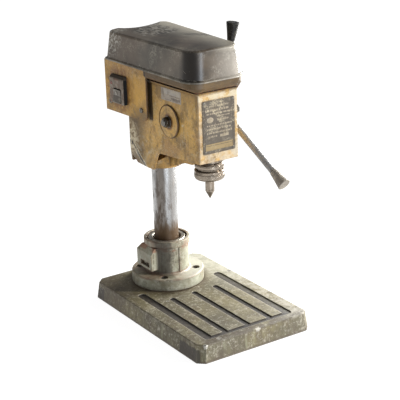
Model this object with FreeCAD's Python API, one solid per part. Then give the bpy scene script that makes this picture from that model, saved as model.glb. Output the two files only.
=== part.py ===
import FreeCAD, Part
import math
import os

from FreeCAD import Vector

# Small bench drilling machine: a cast base, a round column in a flanged socket, and a
# cast head that carries the motor, the belt drive, the quill and its three-lever feed.
# Millimetres. +Z is up, the chuck faces -Y, the feed levers are on +X. The origin is the
# middle of the base's underside.

# ---- base casting ----
base_length = 370.0
base_width = 242.0
base_height = 33.0
base_inset = 3.4            # how far the top lies inside the foot, all round
base_corner = 12.0          # flat across each corner
base_rim = 13.0             # wall of the hollow underside
base_roof = 12.0            # metal over the hollow
base_rib = 14.0
base_edge = 2.2             # rounding of the top's outer edge
groove_depth = 2.2
gutter_width = 16.5
gutter_reach = 93.5         # centre of the base to a side gutter's outer edge
gutter_front = 165.0        # centre of the base to the front gutter's outer edge
front_gutter_width = 10.5
gutter_back = 70.0
slot_pitch = 48.0
slot_width = 11.5
slot_back = 20.0

# ---- column and its socket ----
column_y = 106.0
column_radius = 23.0
column_wall = 4.5
column_length = 316.0
socket_fit = 0.05           # radial clearance of the column in its bores
flange_radius = 69.0
flange_thickness = 23.0
barrel_radius = 41.5
barrel_top = 109.0
collar_radius = 43.8
collar_height = 12.0
collar_rim = 5.8            # width of the collar's top rim
insert_radius = 35.5
insert_bore = 27.0
insert_height = 9.0
flange_screw_count = 4
flange_screw_circle = 54.0
flange_screw_phase = -40.0
flange_screw_radius = 4.0
flange_recess_radius = 7.6
flange_recess_depth = 9.5
barrel_rib = 1.6            # half width of the seam down the barrel's front
lug_reach = 50.5
lug_length = 52.0
lug_centre_y = 108.0
lug_bottom = 66.0
lug_bevel_height = 11.0
lug_bevel_width = 7.5
lug_slot_length = 31.0
lug_slot_height = 9.0
lug_slot_depth = 6.0
lug_screw_radius = 4.0

# ---- head casting ----
head_front = -80.0
head_half_width = 40.0      # at the front face
head_splay = 0.078          # widening of each side per millimetre towards the back
head_back = 136.0
head_back_radius = 9.0
head_bottom = 316.5         # lower edge of the side walls at the front
head_bottom_back = 310.0    # the same edge where it turns down at the column
skirt_bottom = 275.0
skirt_front = 58.0
skirt_front_top = 51.5
step_radius = 11.0
head_wall = 4.5
deck_top = 443.0
flare_start = 437.5         # underside of the deck and start of the flared tray
tray_band = 452.0
tray_top = 461.5
tray_rim = 4.0
tray_front = -89.0
tray_back = 185.0
tray_front_half = 57.0
tray_back_half = 70.5
tray_front_radius = 27.0
tray_back_radius = 10.0
bay_bottom = 366.0
bay_back = 183.0
bay_back_radius = 10.0
column_boss_radius = 36.0
column_boss_bottom = 266.0
column_boss_top = 352.0
gusset_bottom = 283.5
web_thickness = 14.0
back_bevel_top = 323.0
back_bevel_front = 72.0
back_bevel_depth = 7.0
clamp_slit = 4.0
plug_y = -70.0
plug_z = 400.0
gland_x = 30.0
gland_z = 388.0

# ---- quill, spindle and feed ----
spindle_y = -48.0
quill_radius = 24.0
quill_wall = 10.0
quill_bottom = 309.0
quill_length = 123.0
quill_collar_gap = 0.6      # between the foot ring and the casting's front wall
quill_collar_height = 6.5
quill_boss_radius = 29.5
quill_boss_bottom = 318.0
spindle_radius = 8.5
spindle_top = 505.0
bearing_width = 12.0
bearing_seat = 6.5          # wall of the quill round its bearings
deck_bearing_width = 9.0
running_fit = 0.05
gear_module = 2.0
rack_width = 16.0
pinion_teeth = 30
pinion_length = 20.0
pinion_z = 376.8
shaft_radius = 9.0
mesh_gap = 0.4              # the pitch lines stand this far apart
tooth_relief = 0.12         # taken off each flank of the pinion
quill_stroke = 50.0

# ---- return spring and its cap ----
cap_radius = 30.0
cap_thickness = 2.6
spot_depth = 0.38           # how deep the cap's seat is faced into the wall
spring_pocket_radius = 25.0
spring_pocket_depth = 13.0
spring_strip = 0.9
spring_turns = 5
spring_pitch = 2.3
nut_across = 17.0
nut_height = 9.0
stud_radius = 5.2

# ---- feed levers ----
hub_gap = 2.4               # air between the casting and the lever hub
hub_radius = 17.0
hub_length = 38.0
lever_plane_offset = 19.5   # from the hub's inner end to where the levers' axes meet
lever_tilt = 6.0
lever_phase = 94.3
lever_reach = (161.5, 187.5, 187.5)   # the upper lever is the short one
rod_radius = 6.3
grip_length = 33.0
grip_end_radius = 12.0
grip_root_radius = 7.2
grip_edge = 1.2             # rounding of the grip's flat end

# ---- chuck ----
chuck_top = 308.0
chuck_radius = 26.0
chuck_body_bottom = 298.2
chuck_groove_radius = 22.6
chuck_core_radius = 20.4
sleeve_top = 294.4
sleeve_bottom = 276.5
sleeve_radius = 26.8
sleeve_corner = 4.0
taper_length = 13.0
taper_end = 7.2
jaw_radius = 8.2
jaw_end = 253.0
jaw_tip = 239.7
jaw_nose_top = 273.0
jaw_gap = 0.15
jaw_slope = 20.0            # lean of each jaw's bore from the spindle axis
jaw_shank_radius = 4.2
jaw_shank_offset = 3.6      # distance of the shank from the axis at the nose's top
jaw_shank_length = 20.0
jaw_travel = 10.0
jaw_fit = 0.3

# ---- belt drive ----
motor_y = 155.0
motor_gap = 0.5             # air under and behind the motor
motor_shaft_radius = 5.0
spindle_pulley_radii = (34.0, 29.0, 24.0)
motor_pulley_radii = (13.0, 18.0, 23.0)
pulley_step = 13.0
pulley_bottom = 449.0
pulley_rim = 1.6
groove_depth_v = 6.5
groove_narrowing = 2.2      # each flank leans in by this much over the groove's depth
drive_sleeve_radius = 10.5
drive_sleeve_bore = 7.5
belt_thickness = 6.0
belt_proud = 0.4            # the belt stands out of its groove by this much
belt_clearance = 0.3
belt_step = 1               # the belt runs on the middle step of both pulleys

# ---- belt cover ----
cover_lip = 3.0
cover_lip_height = 4.5
cover_wall = 3.0
cover_taper = 6.0
cover_top = 517.0
cover_crown_radius = 620.0
cover_edge = 4.5
cover_front_radius = 30.0
cover_back_radius = 13.0
scoop_radius = 250.0
scoop_half_chord = 55.0
scoop_reach = 34.0
hinge_radius = 2.6
hinge_knuckle_radius = 5.2
hinge_length = 84.0
hinge_knuckles = 5
hinge_leaf = 2.0
hinge_leaf_height = 18.0

# ---- switch side ----
plate_gap = 6.5             # air between the head's wall and the plate
plate_thickness = 3.0
plate_front = 57.0
plate_back = 185.0
plate_bottom = 366.0
plate_corner = 12.0
plate_screw_y = 73.6
plate_screw_z = 385.0
switch_centre_y = 138.5
switch_centre_z = 412.1
switch_width = 43.0
switch_height = 51.5
switch_depth = 9.0
switch_slope = 5.5          # how far the box's top slopes back
rocker_y = 135.5
rocker_z = 401.9
rocker_width = 23.0
rocker_height = 27.0
rocker_stand = 4.5
rocker_side_gap = 0.6
rocker_pin_radius = 1.6
rocker_pin_length = 1.4     # how far the pin stands out of each side of the rocker
lamp_y = 152.5
lamp_z = 423.4
lamp_radius = 2.6

# ---- plates on the head ----
data_plate_width = 66.5
data_plate_bottom = 332.7
data_plate_top = 427.3
data_plate_thickness = 0.9
data_plate_x = 0.5
rivet_radius = 1.5
label_back = 25.0
label_front = -32.0
label_bottom = 414.0
label_top = 436.2
label_thickness = 0.35

X_AXIS = Vector(1, 0, 0)
Y_AXIS = Vector(0, 1, 0)
Z_AXIS = Vector(0, 0, 1)

quill_pitch_radius = quill_radius - gear_module
pinion_pitch_radius = gear_module * pinion_teeth / 2.0
pinion_y = spindle_y + quill_pitch_radius + pinion_pitch_radius + mesh_gap
rack_pitch = math.pi * gear_module
splay_cosine = 1.0 / math.sqrt(1.0 + head_splay ** 2)
shaft_wall = head_half_width + head_splay * (pinion_y - head_front)
pad_face = shaft_wall - spot_depth
hub_start = shaft_wall + hub_gap
lever_plane = hub_start + lever_plane_offset
motor_bottom = bay_bottom + head_wall + motor_gap
motor_radius = bay_back - head_wall - motor_gap - motor_y
bearing_radius = quill_radius - bearing_seat
quill_collar_radius = spindle_y - head_front - head_wall - quill_collar_gap
deck_thickness = deck_top - flare_start


# ---------------------------------------------------------------- helpers
def cylinder(x, y, z, radius, height, axis=Z_AXIS):
    return Part.makeCylinder(radius, height, Vector(x, y, z), axis)


def box(x0, y0, z0, x1, y1, z1):
    return Part.makeBox(x1 - x0, y1 - y0, z1 - z0, Vector(x0, y0, z0))


def ring(x, y, z, outer, inner, height, axis=Z_AXIS):
    return cylinder(x, y, z, outer, height, axis).cut(cylinder(x, y, z, inner, height, axis))


def rounded_wire(points, radii, z):
    """Closed outline through the points, each corner rounded by its own radius."""
    corners = [Vector(x, y, z) for x, y in points]
    count = len(corners)
    spans = []
    for i, corner in enumerate(corners):
        to_last = (corners[i - 1] - corner).normalize()
        to_next = (corners[(i + 1) % count] - corner).normalize()
        radius = radii[i]
        if radius <= 0.0:
            spans.append((corner, None, corner))
            continue
        half = to_last.getAngle(to_next) / 2.0
        reach = radius / math.tan(half)
        bisector = (to_last + to_next).normalize()
        centre = corner + bisector * (radius / math.sin(half))
        spans.append((corner + to_last * reach, centre - bisector * radius, corner + to_next * reach))
    edges = []
    for i, (start, middle, end) in enumerate(spans):
        if middle is not None:
            edges.append(Part.Arc(start, middle, end).toShape())
        edges.append(Part.LineSegment(end, spans[(i + 1) % count][0]).toShape())
    return Part.Wire(edges)


def plan_wire(front, back, front_half, back_half, front_radius, back_radius, z):
    """Plan outline of the head or its tray: symmetric, wider at the back."""
    points = [(-front_half, front), (front_half, front), (back_half, back), (-back_half, back)]
    return rounded_wire(points, [front_radius, front_radius, back_radius, back_radius], z)


def raised(wire, height):
    return Part.Face(wire).extrude(Vector(0, 0, height))


def loft(*wires):
    return Part.makeLoft(list(wires), True, True)


def side_profile(points, half_width):
    """Solid of a profile in the Y-Z plane, as thick as twice half_width along X."""
    vertices = [Vector(-half_width, y, z) for y, z in points]
    face = Part.Face(Part.makePolygon(vertices + vertices[:1]))
    return face.extrude(Vector(2.0 * half_width, 0, 0))


def revolved(profile, x, y, z, axis=Z_AXIS):
    """Solid turned from (radius, height) points about an axis through x, y, z."""
    vertices = [Vector(radius, 0, height) for radius, height in profile]
    face = Part.Face(Part.makePolygon(vertices + vertices[:1]))
    solid = face.revolve(Vector(0, 0, 0), Z_AXIS, 360)
    solid.Placement = FreeCAD.Placement(Vector(x, y, z), FreeCAD.Rotation(Z_AXIS, axis))
    return solid


def hexagon(x, y, z, across, height, axis=Z_AXIS):
    corner = across / math.sqrt(3.0)
    turns = [math.radians(60.0 * i) for i in range(7)]
    wire = Part.makePolygon([Vector(corner * math.cos(a), corner * math.sin(a), 0) for a in turns])
    prism = Part.Face(wire).extrude(Vector(0, 0, height))
    prism.Placement = FreeCAD.Placement(Vector(x, y, z), FreeCAD.Rotation(Z_AXIS, axis))
    return prism


def wall_at(y, offset=0.0):
    """Distance of the head's outer side from the middle plane at y."""
    return head_half_width + head_splay * (y - head_front) + offset


def side_slab(y0, y1, z0, z1, offset, thickness):
    """Slab along the head's left side. The offset is square to the wall."""
    inner = offset / splay_cosine
    outer = (offset + thickness) / splay_cosine
    points = [(-wall_at(y0, inner), y0), (-wall_at(y1, inner), y1),
              (-wall_at(y1, outer), y1), (-wall_at(y0, outer), y0)]
    return raised(rounded_wire(points, [0.0] * 4, z0), z1 - z0)


def side_block(y, z, width, height, inner, outer):
    """Block square to the head's left side, centred on y and z."""
    block = Part.makeBox(width, outer - inner, height, Vector(-width / 2.0, -outer, -height / 2.0))
    block.rotate(Vector(0, 0, 0), Z_AXIS, -90.0 + math.degrees(math.atan(head_splay)))
    block.translate(Vector(-wall_at(y), y, z))
    return block


def side_tool(y, z, radius, inner, outer):
    """Cylinder square to the head's left side, from offset inner to offset outer."""
    normal = Vector(-1.0, -head_splay, 0).normalize()
    start = Vector(-wall_at(y), y, z) + normal * inner
    return Part.makeCylinder(radius, outer - inner, start, normal)


def head_prism(back, inset, z0, z1, front_radius=0.8, back_radius=9.0):
    front = head_front + inset
    rear = back - inset
    wire = plan_wire(front, rear, wall_at(front, -inset), wall_at(rear, -inset),
                     front_radius, back_radius, z0)
    return raised(wire, z1 - z0)


# ---------------------------------------------------------------- base and column
def base_outline(inset, z):
    half_width = base_width / 2.0 - inset
    half_length = base_length / 2.0 - inset
    cut = base_corner
    points = [(-half_width + cut, -half_length), (half_width - cut, -half_length),
              (half_width, -half_length + cut), (half_width, half_length - cut),
              (half_width - cut, half_length), (-half_width + cut, half_length),
              (-half_width, half_length - cut), (-half_width, -half_length + cut)]
    return rounded_wire(points, [1.5] * 8, z)


def base_groove(x, y0, y1, width):
    wire = rounded_wire([(x - width / 2.0, y0), (x + width / 2.0, y0),
                         (x + width / 2.0, y1), (x - width / 2.0, y1)],
                        [width * 0.49] * 4, base_height - groove_depth)
    return raised(wire, groove_depth + 1.0)


def make_base():
    sections = [base_outline(0.0, 0.0)]
    for turn in (0.0, 30.0, 60.0, 90.0):
        drop = base_edge * (1.0 - math.sin(math.radians(turn)))
        inward = base_edge * (1.0 - math.cos(math.radians(turn)))
        sections.append(base_outline(base_inset + inward, base_height - drop))
    body = loft(*sections)
    half_width = base_width / 2.0 - base_rim
    half_length = base_length / 2.0 - base_rim
    hollow = box(-half_width, -half_length, -1.0, half_width, half_length, base_height - base_roof)
    for y in (-base_length / 4.0, 0.0, base_length / 4.0):
        hollow = hollow.cut(box(-half_width, y - base_rib / 2.0, -1.0,
                                half_width, y + base_rib / 2.0, base_height))
    hollow = hollow.cut(box(-base_rib / 2.0, -half_length, -1.0,
                            base_rib / 2.0, half_length, base_height))
    for x, y in flange_screw_places():
        hollow = hollow.cut(cylinder(x, y, -1.0, flange_screw_radius + 6.0, base_height))
    body = body.cut(hollow)
    side = gutter_reach - gutter_width / 2.0
    front = gutter_front - front_gutter_width / 2.0
    grooves = [base_groove(x, -gutter_front, gutter_back, gutter_width) for x in (-side, side)]
    across = box(-side, -front - front_gutter_width / 2.0, base_height - groove_depth,
                 side, -front + front_gutter_width / 2.0, base_height + 1.0)
    grooves.append(across)
    for i in (-1, 0, 1):
        grooves.append(base_groove(i * slot_pitch, -front, slot_back, slot_width))
    body = body.cut(grooves[0].fuse(grooves[1:]).removeSplitter())
    for x, y in flange_screw_places():
        body = body.cut(cylinder(x, y, base_height - 18.0, flange_screw_radius, 19.0))
    return body


def flange_screw_places():
    places = []
    for i in range(flange_screw_count):
        angle = math.radians(flange_screw_phase + 360.0 * i / flange_screw_count)
        places.append((flange_screw_circle * math.cos(angle),
                       column_y + flange_screw_circle * math.sin(angle)))
    return places


def make_flange():
    top = base_height + flange_thickness
    profile = [(0, 0), (flange_radius - 1.0, 0), (flange_radius, 1.5),
               (flange_radius, flange_thickness - 2.0), (flange_radius - 2.0, flange_thickness),
               (barrel_radius + 3.0, flange_thickness), (barrel_radius, flange_thickness + 3.0),
               (barrel_radius, barrel_top - base_height), (0, barrel_top - base_height)]
    body = revolved(profile, 0, column_y, base_height)
    body = body.fuse(clamp_lug())
    seam_x = 2.0
    body = body.fuse(box(seam_x - barrel_rib, column_y - barrel_radius - 1.2, top - 1.0,
                         seam_x + barrel_rib, column_y - barrel_radius + 4.0, barrel_top - 1.0))
    bore = cylinder(0, column_y, base_height - 1.0, column_radius + socket_fit, barrel_top)
    body = body.cut(bore)
    for x, y in flange_screw_places():
        body = body.cut(cylinder(x, y, base_height - 1.0, flange_screw_radius + 0.5, 60.0))
        body = body.cut(cylinder(x, y, top - flange_recess_depth, flange_recess_radius, 30.0))
    slot = box(-lug_reach - 1.0, column_y - lug_slot_length / 2.0, lug_bottom + 5.0,
               -lug_reach + lug_slot_depth, column_y + lug_slot_length / 2.0,
               lug_bottom + 5.0 + lug_slot_height)
    body = body.cut(slot)
    screw_z = lug_screw_height()
    body = body.cut(cylinder(-lug_reach - 1.0, column_y, screw_z, lug_screw_radius,
                             lug_reach - column_radius + 2.0, X_AXIS))
    return body


def lug_screw_height():
    return lug_bottom + 5.0 + lug_slot_height / 2.0


def clamp_lug():
    """Boss on the barrel's left that takes the column's clamp screw."""
    y0, y1 = lug_centre_y - lug_length / 2.0, lug_centre_y + lug_length / 2.0
    points = [(-lug_reach, lug_bottom), (-20.0, lug_bottom), (-20.0, barrel_top),
              (-lug_reach + lug_bevel_width, barrel_top), (-lug_reach, barrel_top - lug_bevel_height)]
    vertices = [Vector(x, y0, z) for x, z in points]
    lug = Part.Face(Part.makePolygon(vertices + vertices[:1])).extrude(Vector(0, y1 - y0, 0))
    bevel = side_profile([(y1 + 1.0, barrel_top - lug_bevel_height - 1.0), (y1 + 1.0, barrel_top + 1.0),
                          (y1 - lug_bevel_width, barrel_top + 1.0)], lug_reach + 1.0)
    return lug.cut(bevel)


def make_flange_screws():
    """Socket screws that hold the flange down, in its recesses."""
    seat = base_height + flange_thickness - flange_recess_depth
    screws = []
    for x, y in flange_screw_places():
        head = cylinder(x, y, seat, flange_recess_radius - 1.1, 7.0)
        head = head.cut(hexagon(x, y, seat + 3.0, 6.0, 5.0))
        length = seat - (base_height - 16.0)
        screws.append(head.fuse(cylinder(x, y, seat - length, flange_screw_radius - 0.05, length)))
    return Part.makeCompound(screws)


def make_collar():
    """Loose ring on the barrel with a raised rim."""
    rim = collar_radius - collar_rim
    profile = [(insert_bore, 0), (collar_radius - 1.0, 0), (collar_radius, 1.0),
               (collar_radius, collar_height - 1.2), (collar_radius - 1.2, collar_height),
               (rim + 0.8, collar_height), (rim, collar_height - 0.8),
               (rim, collar_height - insert_height), (insert_bore, collar_height - insert_height)]
    return revolved(profile, 0, column_y, barrel_top)


def make_insert():
    """Wiper ring inside the collar, round the foot of the column."""
    seat = barrel_top + collar_height - insert_height
    profile = [(insert_bore, 0), (insert_radius, 0), (insert_radius, insert_height - 2.5),
               (insert_radius - 1.5, insert_height - 1.0), (insert_bore + 1.5, insert_height - 1.0),
               (insert_bore, insert_height - 2.5)]
    return revolved(profile, 0, column_y, seat)


def make_lug_screw():
    """Grub screw in the lug. Its point stands just off the column."""
    z = lug_screw_height()
    start = -lug_reach + lug_slot_depth + 1.0
    length = -column_radius - 0.3 - start
    screw = cylinder(start, column_y, z, lug_screw_radius - 0.05, length, X_AXIS)
    return screw.cut(hexagon(start - 1.0, column_y, z, 4.0, 5.0, X_AXIS))


def make_column():
    bottom = base_height + 0.5
    outer = column_radius
    profile = [(outer - column_wall, 0), (outer - 1.0, 0), (outer, 1.0),
               (outer, column_length - 1.5), (outer - 1.5, column_length),
               (outer - column_wall, column_length)]
    return revolved(profile, 0, column_y, bottom)


# ---------------------------------------------------------------- head casting
def head_shell():
    """Outer walls: tapered box, lower at the column, with the motor bay behind."""
    body = head_prism(head_back, 0.0, skirt_bottom, flare_start, back_radius=head_back_radius)
    body = body.cut(rounded_notch())
    bay = head_prism(bay_back, 0.0, bay_bottom, flare_start, back_radius=bay_back_radius)
    body = body.fuse(bay.cut(box(-100, head_front - 1.0, 0, 100, head_back - 20.0, 600)))
    for side in (-1.0, 1.0):
        body = body.cut(back_bevel(side))
    return body


def head_shell_walls():
    """The back wall of the shell under the motor bay, which the core stops at."""
    bay = head_prism(bay_back, 0.0, bay_bottom, flare_start, back_radius=bay_back_radius)
    bay = bay.cut(box(-100, head_front - 1.0, 0, 100, head_back - 20.0, 600))
    hollow = head_prism(bay_back, head_wall, bay_bottom + head_wall, flare_start + 1.0,
                        back_radius=bay_back_radius - head_wall + 2.0)
    hollow = hollow.fuse(head_prism(head_back, head_wall, skirt_bottom - 2.0, flare_start + 1.0,
                                    front_radius=6.0, back_radius=5.0))
    return bay.cut(hollow)


def rounded_notch():
    """What is cut away under the front of the head, with a rounded inner corner."""
    low = skirt_bottom - 1.0
    front = head_front - 1.0
    points = [(front, low), (skirt_front, low), (skirt_front_top, head_bottom_back - 18.0),
              (skirt_front_top - 8.0, head_bottom_back), (front, head_bottom)]
    corners = rounded_wire(points, [0.0, 0.0, 14.0, step_radius, 0.0], 0.0)
    face = Part.Face(corners)
    tool = face.extrude(Vector(0, 0, 240.0))
    tool.Placement = FreeCAD.Placement(Vector(-120.0, 0, 0), FreeCAD.Rotation(
        Vector(0, 1, 0), Vector(0, 0, 1), Vector(1, 0, 0), "XYZ"))
    return tool


def back_bevel(side):
    """Wedge off the lower back corner, where the wall draws in towards the column."""
    top = Vector(side * (wall_at(head_back) + 0.1), head_back, back_bevel_top)
    front = Vector(side * (wall_at(back_bevel_front) + 0.1), back_bevel_front, skirt_bottom)
    back = Vector(side * (wall_at(head_back) - back_bevel_depth), head_back, skirt_bottom)
    along = front - top
    inward = back - front
    corners = [top - along * 0.6, front + along * 0.6, front + along * 0.6 + inward * 2.5,
               top - along * 0.6 + inward * 2.5]
    return Part.Face(Part.makePolygon(corners + corners[:1])).extrude(Vector(side * 40.0, 0, 0))


def tray():
    """Flared top of the casting, open upwards for the belts."""
    neck = plan_wire(head_front, bay_back, wall_at(head_front), wall_at(bay_back),
                     0.8, bay_back_radius, flare_start)
    band = plan_wire(tray_front, tray_back, tray_front_half, tray_back_half,
                     tray_front_radius, tray_back_radius, tray_band)
    body = loft(neck, band).fuse(raised(band, tray_top - tray_band))
    inner = plan_wire(tray_front + tray_rim, tray_back - tray_rim, tray_front_half - tray_rim,
                      tray_back_half - tray_rim, tray_front_radius - tray_rim,
                      tray_back_radius - tray_rim, deck_top)
    return body.cut(raised(inner, tray_top - deck_top + 1.0))


def head_bosses():
    """Quill boss, column boss, feed shaft boss and the web and ribs between them."""
    bosses = cylinder(0, spindle_y, quill_boss_bottom, quill_boss_radius, deck_top - quill_boss_bottom)
    bosses = bosses.fuse(cylinder(0, column_y, column_boss_bottom, column_boss_radius,
                                  column_boss_top - column_boss_bottom))
    shaft_boss = cylinder(-pad_face + 2.0, pinion_y, pinion_z, shaft_radius + 8.0,
                          2.0 * pad_face - 4.0, X_AXIS)
    boss_front = column_y - column_boss_radius
    web_front = spindle_y + quill_boss_radius - 4.0
    web = side_profile([(column_y, column_boss_bottom + 3.0), (boss_front, column_boss_bottom + 3.0),
                        (20.0, 288.0), (-4.0, 290.5), (web_front, quill_boss_bottom + 2.0),
                        (web_front, deck_top - 1.0), (boss_front - 3.0, deck_top - 1.0),
                        (boss_front - 3.0, column_boss_top), (column_y, column_boss_top)],
                       web_thickness / 2.0)
    bridge = box(-wall_at(column_y, -2.0), column_y - 5.0, skirt_bottom,
                 wall_at(column_y, -2.0), column_y + 5.0, column_boss_top)
    pieces = [shaft_boss, web, bridge]
    for side in (-1.0, 1.0):
        pieces.append(front_gusset(side))
    return bosses.fuse(pieces)


def front_gusset(side):
    """Low cross rib from a side wall to the column boss, open underneath."""
    front, back = skirt_front, skirt_front + 18.0
    wall = wall_at(front) - 2.0
    points = [(wall, gusset_bottom), (column_boss_radius * 0.5, gusset_bottom - 2.0),
              (column_boss_radius * 0.5, gusset_bottom + 12.0), (wall, gusset_bottom + 4.5)]
    vertices = [Vector(side * x, front, z) for x, z in points]
    return Part.Face(Part.makePolygon(vertices + vertices[:1])).extrude(Vector(0, back - front, 0))


def make_head_casting():
    """The casting's thin walls, from the skirt up to the deck, with the motor bay."""
    body = head_shell()
    front_cavity = head_prism(head_back, head_wall, skirt_bottom - 2.0, flare_start + 1.0,
                              front_radius=6.0, back_radius=5.0)
    bay_cavity = head_prism(bay_back, head_wall, bay_bottom + head_wall, flare_start + 1.0,
                            back_radius=bay_back_radius - head_wall + 2.0)
    body = body.cut(front_cavity.fuse(bay_cavity)).cut(head_bores())
    posts = []
    holes = []
    for y in plate_screw_places():
        posts.append(side_tool(y, plate_screw_z, 6.0, -2.0, plate_gap - 0.02))
        holes.append(side_tool(y, plate_screw_z, 2.1, -8.0, plate_gap + 1.0))
    return body.fuse(posts).cut(holes[0]).cut(holes[1]).removeSplitter()


def make_head_tray():
    """The casting's deck and flared tray, faced flat where the switch plate passes it."""
    recess = side_slab(plate_front - 0.3, tray_back + 5.0, flare_start - 3.0, tray_top + 1.0,
                       plate_gap - 0.3, 20.0)
    return tray().cut(head_bores()).cut(recess).removeSplitter()


def make_head_core():
    """The casting's inner bosses and ribs, between its walls and under its deck."""
    inside = head_prism(head_back, head_wall, column_boss_bottom - 5.0, flare_start,
                        front_radius=6.0, back_radius=5.0)
    pocket = cylinder(-pad_face, pinion_y, pinion_z, spring_pocket_radius + 5.0,
                      spring_pocket_depth + 6.0, X_AXIS)
    body = head_bosses().fuse(pocket).common(inside)
    return body.cut(head_shell_walls()).cut(head_bores()).removeSplitter()


def plate_screw_places():
    return (plate_screw_y, plate_back - 16.0)


def head_bores():
    quill = cylinder(0, spindle_y, quill_boss_bottom - 2.0, quill_radius + running_fit,
                     deck_top - deck_bearing_width - quill_boss_bottom + 2.0)
    upper = cylinder(0, spindle_y, quill_boss_bottom, drive_sleeve_radius + 7.0, 300.0)
    column = cylinder(0, column_y, column_boss_bottom - 2.0, column_radius + socket_fit,
                      column_boss_top - column_boss_bottom + 4.0)
    shaft = cylinder(-80.0, pinion_y, pinion_z, shaft_radius + running_fit, 160.0, X_AXIS)
    pinion = cylinder(-pinion_length / 2.0 - 1.0, pinion_y, pinion_z,
                      pinion_pitch_radius + gear_module + 0.8, pinion_length + 2.0, X_AXIS)
    spring = cylinder(-pad_face - 20.0, pinion_y, pinion_z, spring_pocket_radius,
                      spring_pocket_depth + 20.0, X_AXIS)
    spot_face = cylinder(-pad_face, pinion_y, pinion_z, cap_radius + 0.6, 20.0, -X_AXIS)
    motor_shaft = cylinder(0, motor_y, deck_top - deck_thickness - 1.0, motor_shaft_radius + 4.0, 60.0)
    plug = cylinder(wall_at(plug_y) - 12.1, plug_y, plug_z, 4.0, 40.0, X_AXIS)
    slit = box(-column_boss_radius - 2.0, column_y - clamp_slit / 2.0, column_boss_bottom - 2.0,
               0.0, column_y + clamp_slit / 2.0, column_boss_top - 30.0)
    gland = cylinder(gland_x, bay_back - 12.0, gland_z, 7.05, 40.0, Y_AXIS)
    bores = [upper, column, shaft, pinion, spring, spot_face, motor_shaft, plug, slit, gland]
    for z in lock_bolt_heights():
        bores.append(cylinder(column_radius - 2.0, column_y, z, 4.05, 60.0, X_AXIS))
    return quill.fuse(bores)


def lock_bolt_heights():
    return (skirt_bottom + 15.0, skirt_bottom + 47.0)


def make_lock_bolts():
    """Two hexagon bolts that clamp the head to the column, on the right-hand side."""
    bolts = []
    seat = wall_at(column_y) + 0.4
    for z in lock_bolt_heights():
        shank = cylinder(column_radius + 0.3, column_y, z, 4.0, seat - column_radius - 0.2, X_AXIS)
        head = hexagon(seat, column_y, z, 13.0, 6.0, X_AXIS)
        bolts.append(shank.fuse(head))
    return Part.makeCompound(bolts)


def make_oil_plug():
    """Hexagon plug near the front of the right-hand side."""
    wall = wall_at(plug_y)
    shank = cylinder(wall - 12.0, plug_y, plug_z, 3.95, 13.0, X_AXIS)
    return shank.fuse(hexagon(wall + 0.6, plug_y, plug_z, 13.0, 6.0, X_AXIS))


def make_gland():
    """Cable gland in the back of the motor bay."""
    body = cylinder(gland_x, bay_back - 9.0, gland_z, 7.0, 9.1, Y_AXIS)
    nut = hexagon(gland_x, bay_back + 0.02, gland_z, 19.0, 5.0, Y_AXIS)
    dome = revolved([(3.6, 0), (8.2, 0), (7.0, 6.0), (5.0, 8.0), (3.6, 8.0)],
                    gland_x, bay_back + 5.0, gland_z, Y_AXIS)
    hole = cylinder(gland_x, bay_back - 10.0, gland_z, 3.6, 30.0, Y_AXIS)
    return body.fuse([nut, dome]).cut(hole)


# ---------------------------------------------------------------- quill and spindle
def make_quill():
    """Quill sleeve with a rack cut in its back, bored for two bearings."""
    inner = quill_radius - quill_wall
    height = quill_length
    profile = [(bearing_radius + 0.02, 0), (quill_radius - 1.0, 0), (quill_radius, 1.0),
               (quill_radius, height - 1.0), (quill_radius - 1.0, height),
               (bearing_radius + 0.02, height), (bearing_radius + 0.02, height - bearing_width),
               (inner, height - bearing_width), (inner, bearing_width),
               (bearing_radius + 0.02, bearing_width)]
    body = revolved(profile, 0, spindle_y, quill_bottom)
    gap_count = int(quill_stroke / rack_pitch) + 5
    for i in range(gap_count):
        gap = rack_gap()
        gap.translate(Vector(0, 0, pinion_z + (i - 2) * rack_pitch))
        body = body.cut(gap)
    return body


def make_quill_collar():
    """Ring clamped on the foot of the quill."""
    inner = quill_radius + 0.02
    high = quill_collar_height
    profile = [(inner, 0), (quill_collar_radius - 1.5, 0), (quill_collar_radius, 1.5),
               (quill_collar_radius, high - 1.0), (quill_collar_radius - 1.0, high), (inner, high)]
    return revolved(profile, 0, spindle_y, quill_bottom + 1.2)


def rack_gap():
    """One tooth space of the rack, its middle at z = 0."""
    back = spindle_y + quill_pitch_radius
    depth = 1.25 * gear_module
    slope = math.tan(math.radians(20.0))
    inner = rack_pitch / 4.0 - slope * depth
    outer = rack_pitch / 4.0 + slope * (gear_module + 1.0)
    profile = [(back - depth, -inner), (back + gear_module + 1.0, -outer),
               (back + gear_module + 1.0, outer), (back - depth, inner)]
    return side_profile(profile, rack_width / 2.0 + 2.0)


def make_pinion_shaft():
    """Feed shaft with its pinion, a seat for the lever hub and a threaded end."""
    left = pad_face - spring_pocket_depth
    shaft = cylinder(-left, pinion_y, pinion_z, shaft_radius, left + hub_start, X_AXIS)
    nose = cylinder(hub_start, pinion_y, pinion_z, shaft_radius - 1.0, hub_length - 5.0, X_AXIS)
    stud_start = -pad_face - cap_thickness - nut_height - 3.0
    stud = cylinder(stud_start, pinion_y, pinion_z, stud_radius, -left - stud_start + 1.0, X_AXIS)
    pinion = raised(pinion_wire(), pinion_length)
    pinion.Placement = FreeCAD.Placement(Vector(-pinion_length / 2.0, pinion_y, pinion_z), FreeCAD.Rotation(
        Vector(0, 1, 0), Vector(0, 0, 1), Vector(1, 0, 0), "XYZ"))
    return shaft.fuse([nose, stud, pinion])


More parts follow.
